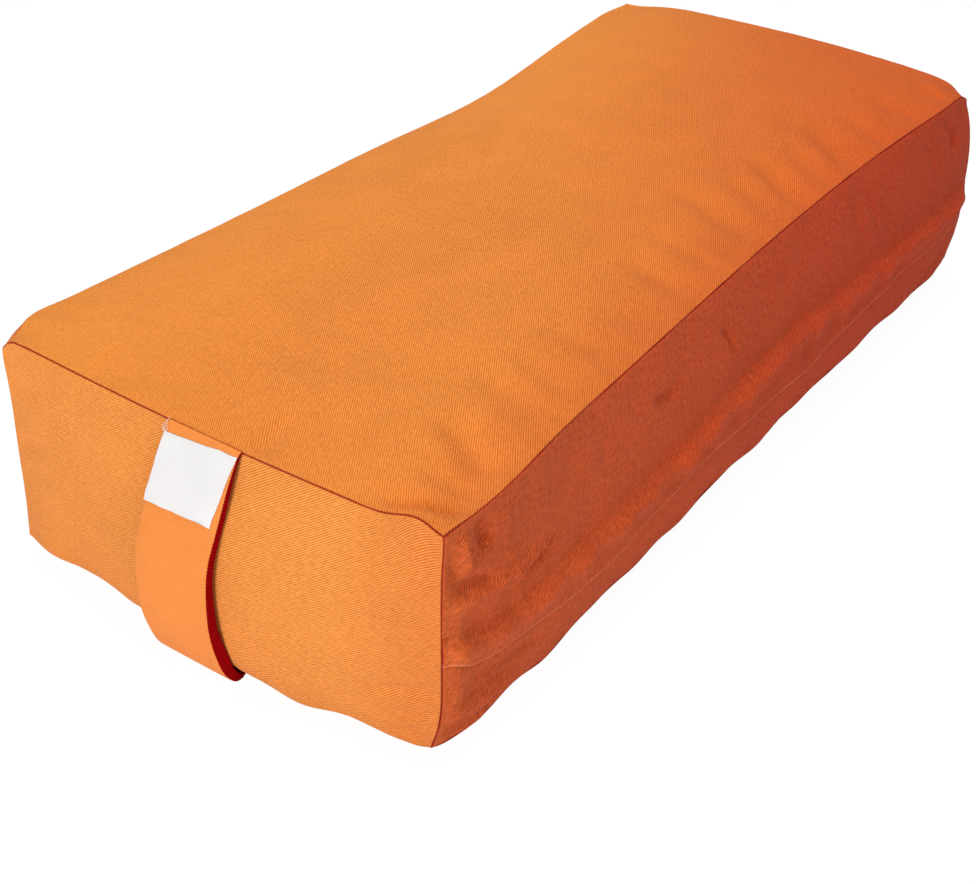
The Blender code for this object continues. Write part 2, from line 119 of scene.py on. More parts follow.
# Camera, from the fit to the photograph
lens_mm = 63.51
sensor_mm = 36.0
camera_place = (0.5258, -0.8453, 0.6527)
camera_right = (0.81695786, 0.57621206, 0.02365401)
camera_down = (0.34602508, -0.45695894, -0.81942368)
camera_forward = (-0.4613529, 0.6776195, -0.57270002)


def mix(low, high, share):
    return low + (high - low) * share


def bell(distance, reach):
    """1 at distance 0, falling smoothly to almost nothing at twice the reach."""
    return np.exp(-(distance / reach) ** 2)


# Form of the stuffed cushion


def waist_share(v):
    return (1 - v * v) * (1 + waist_skew_share * v)


def swell_share(w):
    def raw(height):
        return (1 - abs(height) ** side_swell_power) * (1 - side_swell_lean_share * height)
    return raw(w) / raw(full_height_share)


def side_line(v, w):
    top = seam_half_width - top_draw_in * waist_share(v)
    bottom = seam_half_width + base_flare - bottom_draw_in * waist_share(v)
    full_share = (full_height_share + 1) / 2
    corner = mix(seam_half_width + base_flare, seam_half_width, full_share)
    full_room = side_full_half_width - groove_depth - corner
    full = corner + full_room * (1 - abs(v) ** side_end_power)
    return mix(bottom, top, (w + 1) / 2) + (full - mix(bottom, top, full_share)) * swell_share(w)


def end_line(u, w):
    top = seam_half_length + end_bow_top * (1 - u * u)
    bottom = seam_half_length + end_bow_bottom * (1 - u * u)
    full_share = (full_height_share + 1) / 2
    full_room = end_full_half_length - groove_depth - seam_half_length
    full = seam_half_length + full_room * (1 - abs(u) ** end_corner_power)
    return mix(bottom, top, (w + 1) / 2) + (full - mix(bottom, top, full_share)) * swell_share(w)


def top_height(u, v):
    crown = (1 - abs(u) ** crown_power_across) * (1 - abs(v) ** crown_power_along)
    return seam_height_top + side_seam_rise * (1 - v * v) + crown_height * crown


def base_height(u, v):
    sag = (1 - abs(u) ** base_power_across) * (1 - abs(v) ** base_power_along)
    return np.maximum(seam_height_bottom - base_sag * sag, 0.0)


def cushion(u, v, w):
    """Points of the cushion's form at arrays of shares of its half width, length and height."""
    height = mix(base_height(u, v), top_height(u, v), (w + 1) / 2)
    return np.stack([u * side_line(v, w), v * end_line(u, w), height], axis=-1)


def height_to_share(height):
    return 2 * (height - seam_height_bottom) / (seam_height_top - seam_height_bottom) - 1


# Faces: axis that the face looks along, its sign, and the axes of its two shares
FACES = {
    "top": (2, 1, (0, 1)),
    "bottom": (2, -1, (0, 1)),
    "front": (1, -1, (0, 2)),
    "rear": (1, 1, (0, 2)),
    "left": (0, -1, (1, 2)),
    "right": (0, 1, (1, 2)),
}
half_sizes = (seam_half_width, seam_half_length, (seam_height_top - seam_height_bottom) / 2)
normal_step = 0.004


def on_face(face, a, b):
    axis, sign, (first, second) = FACES[face]
    shares = [None, None, None]
    shares[axis] = np.full_like(a, sign)
    shares[first] = a
    shares[second] = b
    return cushion(*shares)


def face_normal(face, a, b):
    """Outward unit normals of the smooth form."""
    axis, sign, _ = FACES[face]
    inner = 1 - normal_step
    a = np.clip(a, -inner, inner)
    b = np.clip(b, -inner, inner)
    run_a = on_face(face, a + normal_step, b) - on_face(face, a - normal_step, b)
    run_b = on_face(face, a, b + normal_step) - on_face(face, a, b - normal_step)
    normal = np.cross(run_a, run_b)
    normal /= np.linalg.norm(normal, axis=-1, keepdims=True)
    return normal * (np.sign(normal[..., axis:axis + 1]) * sign)


# Slow bulges and dents of the whole form: place, reach and push, in metres
bulges = (
    ((-0.150, -0.330, 0.152), (0.016, 0.018, 0.016), (0.0010, 0.0010, -0.0022)),
    ((-0.1500, -0.322, 0.1520), (0.0058, 0.022, 0.0058), (0.0036, 0.0, -0.0026)),
    ((-0.1530, -0.318, 0.1400), (0.0120, 0.015, 0.0110), (-0.0036, 0.0, 0.0010)),
    ((-0.1240, -0.336, 0.0120), (0.0160, 0.020, 0.0200), (0.0, -0.0040, 0.0)),
    ((0.1560, -0.208, 0.1080), (0.0400, 0.045, 0.0350), (-0.0022, 0.0, 0.0)),
    ((-0.152, -0.306, 0.148), (0.020, 0.016, 0.016), (-0.0045, -0.0015, 0.0010)),
    ((-0.148, -0.300, 0.150), (0.030, 0.050, 0.030), (-0.0010, -0.0010, 0.0010)),
    ((-0.142, -0.100, 0.152), (0.060, 0.140, 0.050), (0.0040, 0.0, -0.0020)),
    ((-0.140, 0.095, 0.152), (0.060, 0.100, 0.050), (0.0060, 0.0, -0.0050)),
    ((0.020, 0.340, 0.150), (0.110, 0.050, 0.050), (0.0, 0.0015, 0.0030)),
    ((0.150, 0.335, 0.150), (0.030, 0.040, 0.030), (-0.0062, -0.0020, -0.0020)),
    ((0.150, 0.334, 0.153), (0.012, 0.014, 0.014), (-0.0012, -0.0020, -0.0066)),
    ((-0.148, 0.330, 0.150), (0.030, 0.030, 0.030), (0.0020, -0.0050, -0.0040)),
    ((0.134, -0.332, 0.151), (0.013, 0.016, 0.020), (0.0, 0.0025, 0.0040)),
    ((0.150, -0.285, 0.152), (0.020, 0.045, 0.020), (0.0030, 0.0, 0.0)),
    ((0.152, -0.332, 0.005), (0.026, 0.024, 0.024), (-0.0055, -0.0020, 0.0008)),
    ((-0.152, -0.332, 0.005), (0.022, 0.022, 0.022), (-0.0018, 0.0006, 0.0006)),
    ((0.152, 0.332, 0.005), (0.024, 0.024, 0.024), (-0.0040, -0.0020, 0.0020)),
    ((-0.152, 0.332, 0.005), (0.024, 0.024, 0.024), (0.0040, -0.0020, 0.0020)),
    ((0.068, -0.342, 0.010), (0.052, 0.050, 0.035), (0.0, -0.0050, -0.0010)),
    ((0.000, -0.342, 0.010), (0.050, 0.050, 0.035), (0.0, -0.0045, 0.0)),
    ((0.010, -0.345, 0.075), (0.085, 0.050, 0.050), (0.0, -0.0065, 0.0)),
    ((0.018, -0.350, 0.068), (0.042, 0.050, 0.046), (0.0, -0.0052, 0.0)),
    ((0.1525, -0.3310, 0.010), (0.007, 0.007, 0.010), (-0.0022, 0.0022, 0.0)),
    ((0.155, 0.290, 0.060), (0.040, 0.060, 0.050), (0.0015, 0.0030, 0.0030)),
    ((0.152, 0.240, 0.008), (0.040, 0.060, 0.030), (0.0003, 0.0, 0.0004)),
    ((0.152, 0.000, 0.008), (0.040, 0.080, 0.030), (-0.0004, 0.0, 0.0)),
)
# Waves of the lower rim
sag_wave = 0.0008
sag_wave_length = 0.075
sag_seed = 77
sag_slant_share = 1.2
sag_inward_share = 0.6
sag_height = 0.009
sag_reach = 0.016


def bulged(points):
    """The points moved by the slow bulges and by the waves of the lower rim."""
    moved = points.copy()
    for place, reach, push in bulges:
        away = (points - np.array(place)) / np.array(reach)
        near = np.exp(-(away ** 2).sum(axis=-1))
        moved += near[..., None] * np.array(push)
    slant = points[..., 0] * sag_slant_share - points[..., 1]
    sag = line_waves(slant, sag_seed, sag_wave_length)
    sag = sag * sag_wave * bell(points[..., 2] - sag_height, sag_reach)
    moved[..., 2] += sag
    for axis in (0, 1):
        moved[..., axis] -= sag * np.sign(points[..., axis]) * sag_inward_share
    moved[..., 2] = np.maximum(moved[..., 2], 0.0)
    return moved


flank_share = 1.6


def along_path(spots, path):
    """Distance of each spot from a path, the side it is on, and its share of the path's length."""
    path = np.array(path, float)
    lengths = np.linalg.norm(np.diff(path, axis=0), axis=1)
    total = lengths.sum()
    best = np.full(spots.shape[:-1], np.inf)
    side = np.zeros_like(best)
    share = np.zeros_like(best)
    walked = 0.0
    for start, end, length in zip(path, path[1:], lengths):
        heading = (end - start) / length
        rest = spots - start
        reach = rest @ heading
        held = np.clip(reach, 0, length)
        away = np.linalg.norm(rest - held[..., None] * heading, axis=-1)
        nearer = away < best
        turn = heading[0] * rest[..., 1] - heading[1] * rest[..., 0]
        best = np.where(nearer, away, best)
        side = np.where(nearer, np.sign(turn), side)
        share = np.where(nearer, (walked + held) / total, share)
        walked += length
    return best, side, share


def crease(spots, path, width, height, lean, taper):
    """Ridge or valley along a path. lean raises one flank and lowers the other."""
    away, side, share = along_path(spots, path)
    body = bell(away, width)
    flank = side * (away / width) * body * lean * flank_share
    fade = np.clip(np.minimum(share, 1 - share) / taper * 2, 0, 1)
    fade = fade * fade * (3 - 2 * fade)
    return height * (body + flank) * fade


# Creases: points on the panel, half width, height (a valley is below 0), lean, taper of the ends
top_creases = (
    (((0.112, -0.300), (0.126, -0.298), (0.146, -0.296)), 0.0070, -0.0016, 0.7, 0.7),
    (((0.090, -0.160), (0.112, -0.158), (0.138, -0.157)), 0.0100, -0.0013, 0.8, 0.7),
    (((0.070, -0.030), (0.102, -0.036), (0.138, -0.040)), 0.0106, -0.0014, 0.8, 0.7),
    (((0.074, 0.062), (0.105, 0.052), (0.136, 0.040)), 0.0100, -0.0014, 0.9, 0.7),
    (((0.085, 0.134), (0.108, 0.122), (0.136, 0.108)), 0.0100, -0.0016, 0.9, 0.7),
    (((0.090, 0.208), (0.112, 0.200), (0.142, 0.190)), 0.0100, -0.0014, 0.9, 0.7),
    (((0.147, -0.318), (0.144, -0.290), (0.145, -0.255)), 0.0100, -0.0022, 0.6, 0.6),
    (((0.0330, -0.336), (0.0322, -0.322), (0.0284, -0.294)), 0.0070, -0.0026, -0.8, 0.6),
    (((0.1085, -0.334), (0.1072, -0.322), (0.1068, -0.312)), 0.0041, -0.0013, 0.5, 0.6),
    (((0.108, -0.325), (0.118, -0.3225), (0.134, -0.316), (0.150, -0.306)), 0.0061, -0.0053, 0.5, 0.5),
    (((0.092, -0.256), (0.106, -0.263), (0.1172, -0.270), (0.142, -0.285)), 0.0105, -0.0041, 0.7, 0.7),
    (((0.082, -0.222), (0.102, -0.2243), (0.120, -0.2250), (0.144, -0.228)), 0.0120, -0.0020, 0.8, 0.7),
    (((0.086, -0.190), (0.110, -0.195), (0.140, -0.201)), 0.0112, -0.0017, 0.8, 0.7),
    (((0.098, -0.126), (0.115, -0.122), (0.138, -0.116)), 0.0109, -0.0013, 0.8, 0.7),
    (((0.078, -0.067), (0.105, -0.072), (0.138, -0.079)), 0.0120, -0.0022, 0.9, 0.7),
    (((0.055, 0.027), (0.085, 0.019), (0.115, 0.010), (0.138, 0.002)), 0.0126, -0.0024, 0.9, 0.7),
    (((0.080, 0.097), (0.105, 0.085), (0.128, 0.073), (0.138, 0.067)), 0.0120, -0.0033, 1.0, 0.7),
    (((0.082, 0.174), (0.106, 0.158), (0.126, 0.146), (0.140, 0.138)), 0.0124, -0.0033, 1.0, 0.7),
    (((0.095, 0.240), (0.120, 0.246), (0.144, 0.253)), 0.0109, -0.0022, 0.9, 0.7),
    (((0.108, 0.285), (0.125, 0.289), (0.146, 0.294)), 0.0100, -0.0017, 0.9, 0.7),
    (((0.115, 0.310), (0.130, 0.303), (0.148, 0.296)), 0.0065, 0.0015, 0.4, 0.7),
    (((-0.140, -0.300), (-0.118, -0.290), (-0.096, -0.276)), 0.0070, -0.0007, 0.4, 0.7),
    (((-0.146, -0.200), (-0.120, -0.192), (-0.100, -0.184)), 0.0075, -0.0006, 0.5, 0.7),
    (((-0.142, -0.080), (-0.118, -0.076), (-0.092, -0.070)), 0.0080, -0.0006, 0.5, 0.7),
    (((-0.140, 0.060), (-0.112, 0.052), (-0.088, 0.046)), 0.0080, -0.0007, 0.5, 0.7),
    (((-0.144, 0.190), (-0.118, 0.180), (-0.094, 0.172)), 0.0075, -0.0007, 0.5, 0.7),
)
front_creases = (
    (((0.1048, 0.150), (0.1062, 0.136), (0.107, 0.120)), 0.0031, -0.0017, -0.6, 0.6),
    (((0.115, 0.151), (0.1165, 0.138), (0.118, 0.118)), 0.0036, -0.0017, 0.6, 0.6),
    (((0.104, 0.048), (0.118, 0.047), (0.132, 0.050), (0.150, 0.056)), 0.0054, -0.0028, -0.7, 0.5),
    (((0.110, 0.034), (0.126, 0.030), (0.150, 0.034)), 0.0054, -0.0022, 0.6, 0.5),
    (((0.118, 0.018), (0.132, 0.016), (0.150, 0.020)), 0.0048, -0.0025, 0.6, 0.5),
    (((-0.150, 0.080), (-0.132, 0.086), (-0.112, 0.094)), 0.0060, -0.0017, 0.6, 0.5),
    (((-0.150, 0.060), (-0.134, 0.066), (-0.112, 0.070)), 0.0060, -0.0017, 0.6, 0.5),
    (((-0.150, 0.120), (-0.136, 0.122), (-0.118, 0.124)), 0.0054, -0.0014, 0.6, 0.5),
    (((0.150, 0.098), (0.132, 0.102), (0.112, 0.104)), 0.0066, -0.0014, 0.6, 0.5),
    (((0.150, 0.122), (0.136, 0.128), (0.124, 0.136)), 0.0054, -0.0017, 0.6, 0.5),
)

# The line where the flap is stitched down, and the flap's folded edge: (y, z)
stitch_line = (
    (-0.335, 0.0925), (-0.315, 0.0865), (-0.290, 0.0795), (-0.236, 0.0765), (-0.168, 0.0790),
    (-0.105, 0.0815), (-0.044, 0.0865), (0.000, 0.0895), (0.047, 0.0925), (0.090, 0.0900),
    (0.121, 0.0877), (0.191, 0.0850), (0.250, 0.0815), (0.302, 0.0795), (0.335, 0.0785),
)
flap_line = (
    (-0.335, 0.0722), (-0.322, 0.0680), (-0.308, 0.0605), (-0.296, 0.0560), (-0.265, 0.0520),
    (-0.225, 0.0462), (-0.1825, 0.0440), (-0.130, 0.0495), (-0.083, 0.0545), (-0.045, 0.0545),
    (-0.007, 0.0532), (0.030, 0.0510), (0.0625, 0.0508), (0.110, 0.0540), (0.1615, 0.0555),
    (0.220, 0.0550), (0.270, 0.0525), (0.322, 0.0500), (0.335, 0.0500),
)
# Roll of cloth beside the near corner seam, which catches the light from the front
corner_roll = (((-0.3225, 0.122), (-0.3212, 0.085), (-0.3205, 0.050), (-0.3205, 0.020)), 0.0085, 0.0024,
               0.0, 0.30)
side_creases = (
    corner_roll,
    (((-0.2843, 0.151), (-0.2776, 0.120), (-0.2698, 0.084), (-0.262, 0.056)), 0.0016, 0.0020, 0.0, 0.3),
    (((-0.322, 0.146), (-0.3171, 0.1375), (-0.3139, 0.1279), (-0.314, 0.118)), 0.0034, 0.0044, 0.6, 0.5),
    (((-0.329, 0.140), (-0.3255, 0.128), (-0.322, 0.116)), 0.0038, -0.0058, 0.3, 0.5),
    (((-0.306, 0.1475), (-0.300, 0.137), (-0.298, 0.124)), 0.0050, -0.0044, 0.4, 0.5),
    (((-0.329, 0.114), (-0.308, 0.110), (-0.286, 0.100)), 0.0045, -0.0036, 0.6, 0.5),
    (((-0.329, 0.104), (-0.305, 0.100), (-0.270, 0.095), (-0.232, 0.0975)), 0.0046, 0.0034, 0.6, 0.5),
    (((-0.272, 0.094), (-0.250, 0.094), (-0.230, 0.098)), 0.0040, -0.0036, -0.6, 0.6),
    (((-0.0537, 0.134), (-0.045, 0.122), (-0.0376, 0.108)), 0.0037, -0.0025, 0.7, 0.6),
    (((-0.1355, 0.1315), (-0.1300, 0.122), (-0.117, 0.1175), (-0.100, 0.1215)), 0.0046, -0.0025, 0.8, 0.6),
    (((0.1269, 0.1425), (0.137, 0.122), (0.1471, 0.0984)), 0.0037, -0.0011, 0.7, 0.6),
    (((0.1502, 0.141), (0.160, 0.120), (0.168, 0.098)), 0.0037, -0.0011, 0.7, 0.6),
    (((0.1702, 0.1319), (0.178, 0.110), (0.1842, 0.0876)), 0.0037, -0.0011, 0.7, 0.6),
    (((0.240, 0.146), (0.252, 0.128), (0.262, 0.104)), 0.0048, -0.0013, 0.7, 0.6),
    (((0.275, 0.149), (0.287, 0.134), (0.296, 0.114)), 0.0044, -0.0016, 0.7, 0.6),
    (((0.318, 0.140), (0.300, 0.130), (0.284, 0.116)), 0.0044, -0.0015, 0.7, 0.6),
    (((0.020, 0.142), (0.028, 0.126), (0.034, 0.108)), 0.0055, -0.0010, 0.7, 0.6),
    (((-0.200, 0.146), (-0.190, 0.130), (-0.182, 0.108)), 0.0066, -0.0010, 0.7, 0.6),
)
strip_creases = (
    corner_roll,
    (((-0.331, 0.052), (-0.305, 0.046), (-0.270, 0.038), (-0.235, 0.034)), 0.0030, -0.0021, 0.6, 0.6),
    (((-0.331, 0.041), (-0.305, 0.036), (-0.265, 0.029)), 0.0032, -0.0024, 0.6, 0.6),
    (((-0.331, 0.030), (-0.300, 0.026), (-0.262, 0.020)), 0.0034, 0.0023, 0.6, 0.6),
    (((-0.331, 0.022), (-0.306, 0.016), (-0.280, 0.012)), 0.0030, -0.0021, 0.6, 0.6),
    (((0.331, 0.038), (0.300, 0.033), (0.262, 0.028)), 0.0036, -0.0009, 0.6, 0.6),
    (((0.331, 0.026), (0.306, 0.021), (0.276, 0.017)), 0.0032, 0.0008, 0.6, 0.6),
    (((-0.150, 0.030), (-0.110, 0.026), (-0.070, 0.028)), 0.0050, -0.0006, 0.6, 0.6),
    (((0.040, 0.030), (0.090, 0.034), (0.140, 0.030)), 0.0050, -0.0006, 0.6, 0.6),
)
# The left side mirrors the right one, softer
left_width_share = 1.6
left_height_share = 0.55
left_creases = tuple(
    (tuple((-y, z) for y, z in path), width * left_width_share, height * left_height_share, lean,
     taper)
    for path, width, height, lean, taper in side_creases
)
rear_creases = tuple(
    (tuple((-x, z) for x, z in path), width, height, lean, taper)
    for path, width, height, lean, taper in front_creases
)
CREASES = {
    "top": top_creases,
    "bottom": (),
    "front": front_creases,
    "rear": rear_creases,
    "left": left_creases,
    "right": side_creases,
}


wave_spread = (0.7, 1.6)
line_wave_spread = (0.6, 1.9)
wave_count = 14
line_wave_count = 12


def waves(spots, seed, wave_length):
    """Smooth random hills of about the given length, between about -1 and 1."""
    dice = np.random.RandomState(seed)
    total = np.zeros(spots.shape[:-1])
    for _ in range(wave_count):
        angle = dice.uniform(0, 2 * math.pi)
        length = wave_length * dice.uniform(*wave_spread)
        phase = dice.uniform(0, 2 * math.pi)
        heading = np.array([math.cos(angle), math.sin(angle)]) * 2 * math.pi / length
        total += np.sin(spots @ heading + phase)
    return total / math.sqrt(wave_count)


def line_waves(run, seed, wave_length):
    """The same along one line."""
    dice = np.random.RandomState(seed)
    total = np.zeros(run.shape)
    for _ in range(line_wave_count):
        length = wave_length * dice.uniform(*line_wave_spread)
        total += np.sin(run * 2 * math.pi / length + dice.uniform(0, 2 * math.pi))
    return total / math.sqrt(line_wave_count)


def rolled(distance):
    """Rise of the cloth out of a seam: steep at the seam, flat once it is over the roll."""
    part = 1 - np.clip(distance / seam_roll, 0, 1)
    return np.sqrt(np.maximum(1 - part ** 2, 0.0))


# Building meshes


def graded(start, end, fine_end=True, coarse=coarse_step):
    """Places from start to end, close together where the cloth meets a seam."""
    half = (end - start) / 2
    steps = []
    total, step = 0.0, fine_step
    while total < half:
        steps.append(step)
        total += step
        step = min(step * step_growth, coarse)
    fine = np.concatenate([[0.0], np.cumsum(steps)])
    fine *= half / fine[-1]
    even = np.linspace(0, half, max(2, math.ceil(half / coarse)) + 1)
    last = fine if fine_end else even
    return np.concatenate([start + fine, (end - last)[::-1][1:]])


def grid_faces(columns, rows):
    index = np.arange(columns * rows).reshape(columns, rows)
    quads = np.stack([index[:-1, :-1], index[1:, :-1], index[1:, 1:], index[:-1, 1:]], axis=-1)
    return quads.reshape(-1, 4)


def closed_tube(rows, around):
    """Faces of a tube of rings of points, with both ends closed."""
    index = np.arange(rows * around).reshape(rows, around)
    after = np.roll(index, -1, axis=1)
    quads = np.stack([index[:-1], index[1:], after[1:], after[:-1]], axis=-1).reshape(-1, 4)
    return [*quads.tolist(), index[0].tolist(), index[-1][::-1].tolist()]


def new_mesh(name, points, faces, cloth=None):
    """Object from arrays of points and faces. cloth is (across ribs, along ribs, from seam)."""
    mesh = bpy.data.meshes.new(name)
    mesh.from_pydata(points.reshape(-1, 3).tolist(), [], [list(map(int, face)) for face in faces])
    mesh.update()
    mesh.shade_smooth()
    if cloth is not None:
        layer = mesh.attributes.new("cloth", "FLOAT_VECTOR", "POINT")
        layer.data.foreach_set("vector", cloth.reshape(-1, 3).astype(np.float32).ravel())
    item = bpy.data.objects.new(name, mesh)
    bpy.context.scene.collection.objects.link(item)
    return item


def cloth_sheet(name, points, cloth, outward, thickness, look):
    """Sheet from a grid of points on its outer side, turned to look outward."""
    item = new_mesh(name, points, grid_faces(*points.shape[:2]), cloth)
    total = Vector((0, 0, 0))
    for polygon in item.data.polygons:
        total += polygon.normal * polygon.area
    if total.dot(Vector(outward)) < 0:
        item.data.flip_normals()
    wall = item.modifiers.new("Cloth thickness", "SOLIDIFY")
    wall.thickness = thickness
    wall.offset = -1.0
    wall.use_rim = True
    item.data.materials.append(look)
    return item


def sharpen_row(item, columns, row):
    """Keep the shading apart on the two sides of one row of a grid of points."""
    mesh = item.data
    ends = np.empty(len(mesh.edges) * 2, np.int32)
    mesh.edges.foreach_get("vertices", ends)
    on_row = (ends.reshape(-1, 2) % columns == row).all(axis=1)
    layer = mesh.attributes.new("sharp_edge", "BOOLEAN", "EDGE")
    layer.data.foreach_set("value", on_row)


def rib_place(first, second, distance, angle):
    """Place of the cloth across and along its ribs, and its distance from the nearest seam."""
    turn = math.radians(angle)
    along = first * math.cos(turn) + second * math.sin(turn)
    across = second * math.cos(turn) - first * math.sin(turn)
    return np.stack([across, along, distance], axis=-1)


AXES = np.eye(3)
share_digits = 5


def closed_grid(counts):
    """Shares at the points of a box of joined grids, its faces, and the point of each grid place."""
    lines = [np.linspace(-1, 1, count) for count in counts]
    shares = []
    faces = []
    total = 0
    for axis, sign, (first, second) in FACES.values():
        a, b = np.meshgrid(lines[first], lines[second], indexing="ij")
        spot = [None, None, None]
        spot[axis] = np.full_like(a, sign)
        spot[first] = a
        spot[second] = b
        quads = grid_faces(*a.shape)
        if np.cross(AXES[first], AXES[second])[axis] * sign < 0:
            quads = quads[:, ::-1]
        faces.append(quads + total)
        shares.append(np.stack(spot, axis=-1).reshape(-1, 3))
        total += a.size
    spots = np.round(np.concatenate(shares), share_digits)
    joined, which = np.unique(spots, axis=0, return_inverse=True)
    which = which.reshape(-1)
    return joined, which[np.concatenate(faces)], which


# Wrinkles of the stuffed cover, from a Cloth simulation of the cover as one closed bag

bag_step = 0.0075
bag_frames = 20
bag_settings = {
    "quality": 6,
    "tension_stiffness": 25,
    "compression_stiffness": 25,
    "shear_stiffness": 8,
    "bending_stiffness": 0.25,
    "use_pressure": True,
    "uniform_pressure_force": 4.0,
    "vertex_group_mass": "floor",
    "vertex_group_shrink": "seams",
    "shrink_min": -0.012,
    "shrink_max": 0.035,
}
wrinkle_share = 0.26
wrinkle_cap = 0.0014
wrinkle_fade = 0.0040
wrinkle_cells = 3.0
finer_cells = 6
finer_smooth_share = 0.6
smooth_reach = 3


def smoothed(grid, cells, axis):
    """Average of a grid over a few cells along one axis, mirrored at its ends."""
    reach = math.ceil(cells * smooth_reach)
    run = np.arange(-reach, reach + 1)
    shares = np.exp(-0.5 * (run / cells) ** 2)
    shares /= shares.sum()
    edge = [(0, 0), (0, 0)]
    edge[axis] = (reach, reach)
    wide = np.pad(grid, edge, mode="reflect")
    size = grid.shape[axis]
    return sum(share * wide.take(range(start, start + size), axis=axis)
               for start, share in enumerate(shares))


def finer(grid, axis):
    """The same grid with more cells along one axis."""
    places = np.linspace(0, grid.shape[axis] - 1, (grid.shape[axis] - 1) * finer_cells + 1)
    low = np.minimum(places.astype(int), grid.shape[axis] - 2)
    share = np.expand_dims(places - low, 1 - axis)
    return mix(grid.take(low, axis=axis), grid.take(low + 1, axis=axis), share)


def simulated_bag(start, faces, seams, floor):
    """Places of the bag's points once it is blown up and its seams are drawn together."""
    bag = new_mesh("cover_bag", start, faces)
    for name, chosen in (("seams", seams), ("floor", floor)):
        bag.vertex_groups.new(name=name).add(np.nonzero(chosen)[0].tolist(), 1.0, "REPLACE")
    settings = bag.modifiers.new("Cloth", "CLOTH").settings
    for key, value in bag_settings.items():
        setattr(settings, key, value)
    settings.effector_weights.gravity = 0
    for number in range(1, bag_frames + 1):
        bpy.context.scene.frame_set(number)
    shown = bag.evaluated_get(bpy.context.evaluated_depsgraph_get()).data
    places = np.empty(len(start) * 3, np.float32)
    shown.vertices.foreach_get("co", places)
    bpy.context.scene.frame_set(1)
    bpy.data.objects.remove(bag)
    return places.reshape(-1, 3)


def simulated_wrinkles():
    counts = [round(2 * half / bag_step) + 1 for half in half_sizes]
    shares, faces, which = closed_grid(counts)
    start = bulged(cushion(*shares.T))
    seams = (np.abs(shares) == 1).sum(axis=1) > 1
    moved = simulated_bag(start, faces, seams, (shares[:, 2] == -1) & ~seams) - start
    found = {}
    walked = 0
    for face, (axis, sign, (first, second)) in FACES.items():
        shape = counts[first], counts[second]
        chosen = which[walked:walked + shape[0] * shape[1]]
        walked += len(chosen)
        push = (moved[chosen, axis] * sign).reshape(shape)
        gap_a, gap_b = np.meshgrid(*((1 - np.abs(np.linspace(-1, 1, counts[letter])))
                                     * half_sizes[letter] + bag_step for letter in (first, second)),
                                   indexing="ij")
        near_a = gap_b / (gap_a + gap_b)
        fine = (near_a * (push - smoothed(push, wrinkle_cells, 1))
                + (1 - near_a) * (push - smoothed(push, wrinkle_cells, 0)))
        fine = wrinkle_cap * np.tanh(fine * wrinkle_share / wrinkle_cap)
        for along in (0, 1):
            fine = smoothed(finer(fine, along), finer_cells * finer_smooth_share, along)
        found[face] = fine
    return found


WRINKLES = simulated_wrinkles()


def wrinkle(face, a, b):
    """Simulated wrinkle height at arrays of shares a and b of a face."""
    if face not in WRINKLES:
        return np.zeros_like(a)
    grid = WRINKLES[face]
    row, column = (np.clip((share + 1) / 2, 0, 1) * (size - 1)
                   for share, size in zip((a, b), grid.shape))
    low_row = np.minimum(row.astype(int), grid.shape[0] - 2)
    low_column = np.minimum(column.astype(int), grid.shape[1] - 2)
    across = column - low_column
    near = mix(grid[low_row, low_column], grid[low_row, low_column + 1], across)
    far = mix(grid[low_row + 1, low_column], grid[low_row + 1, low_column + 1], across)
    return mix(near, far, row - low_row)


# Relief of a panel: slow hills, and puckers that run out from its seams
relief_room = 0.006
relief_at_seam_share = 0.25
hill_seed_step = 50
seeds_per_panel = 10
# Height and wave length of the hills
panel_hills = ((0.00035, 0.085), (0.00012, 0.030))
side_hills = ((0.00040, 0.075), (0.00015, 0.026))
# Wave length, height, reach and start of the puckers
panel_puckers = (0.026, 0.00055, 0.022, 0.0030)
side_puckers = (0.020, 0.00035, 0.018, 0.0022)
side_top_puckers = (0.024, 0.00035, 0.016, 0.0022)
side_bottom_puckers = (0.020, 0.00040, 0.014, 0.0022)


def relief(spots, creases, gap, seed, hills):
    """Creases and hills at spots of a panel, fading towards the seams that are gap away."""
    window = 1 - bell(gap, relief_room)
    lift = np.zeros_like(gap)
    for path, width, height, lean, taper in creases:
        lift += crease(spots, path, width, height, lean, taper)
    lift *= mix(relief_at_seam_share, 1.0, window)
    for number, (height, wave_length) in enumerate(hills):
        lift += height * waves(spots, seed + number * hill_seed_step, wave_length) * window
    return lift


def puckers(run, gap, seed, sizes):
    """Puckers at places run along a seam and gap away from it."""
    wave_length, height, reach, start = sizes
    wave = line_waves(run, seed, wave_length)
    return height * wave * np.exp(-gap / reach) * (1 - np.exp(-gap / start))


def turned_in(points, over, outward, edge, other_edge, near_other):
    """Seam allowance: points that are over an edge go in behind the face, clear of its corner.

    outward, edge and other_edge point out of the face, over the edge and over the one beside it.
    """
    return points - over[..., None] * (outward + edge + other_edge * near_other[..., None])


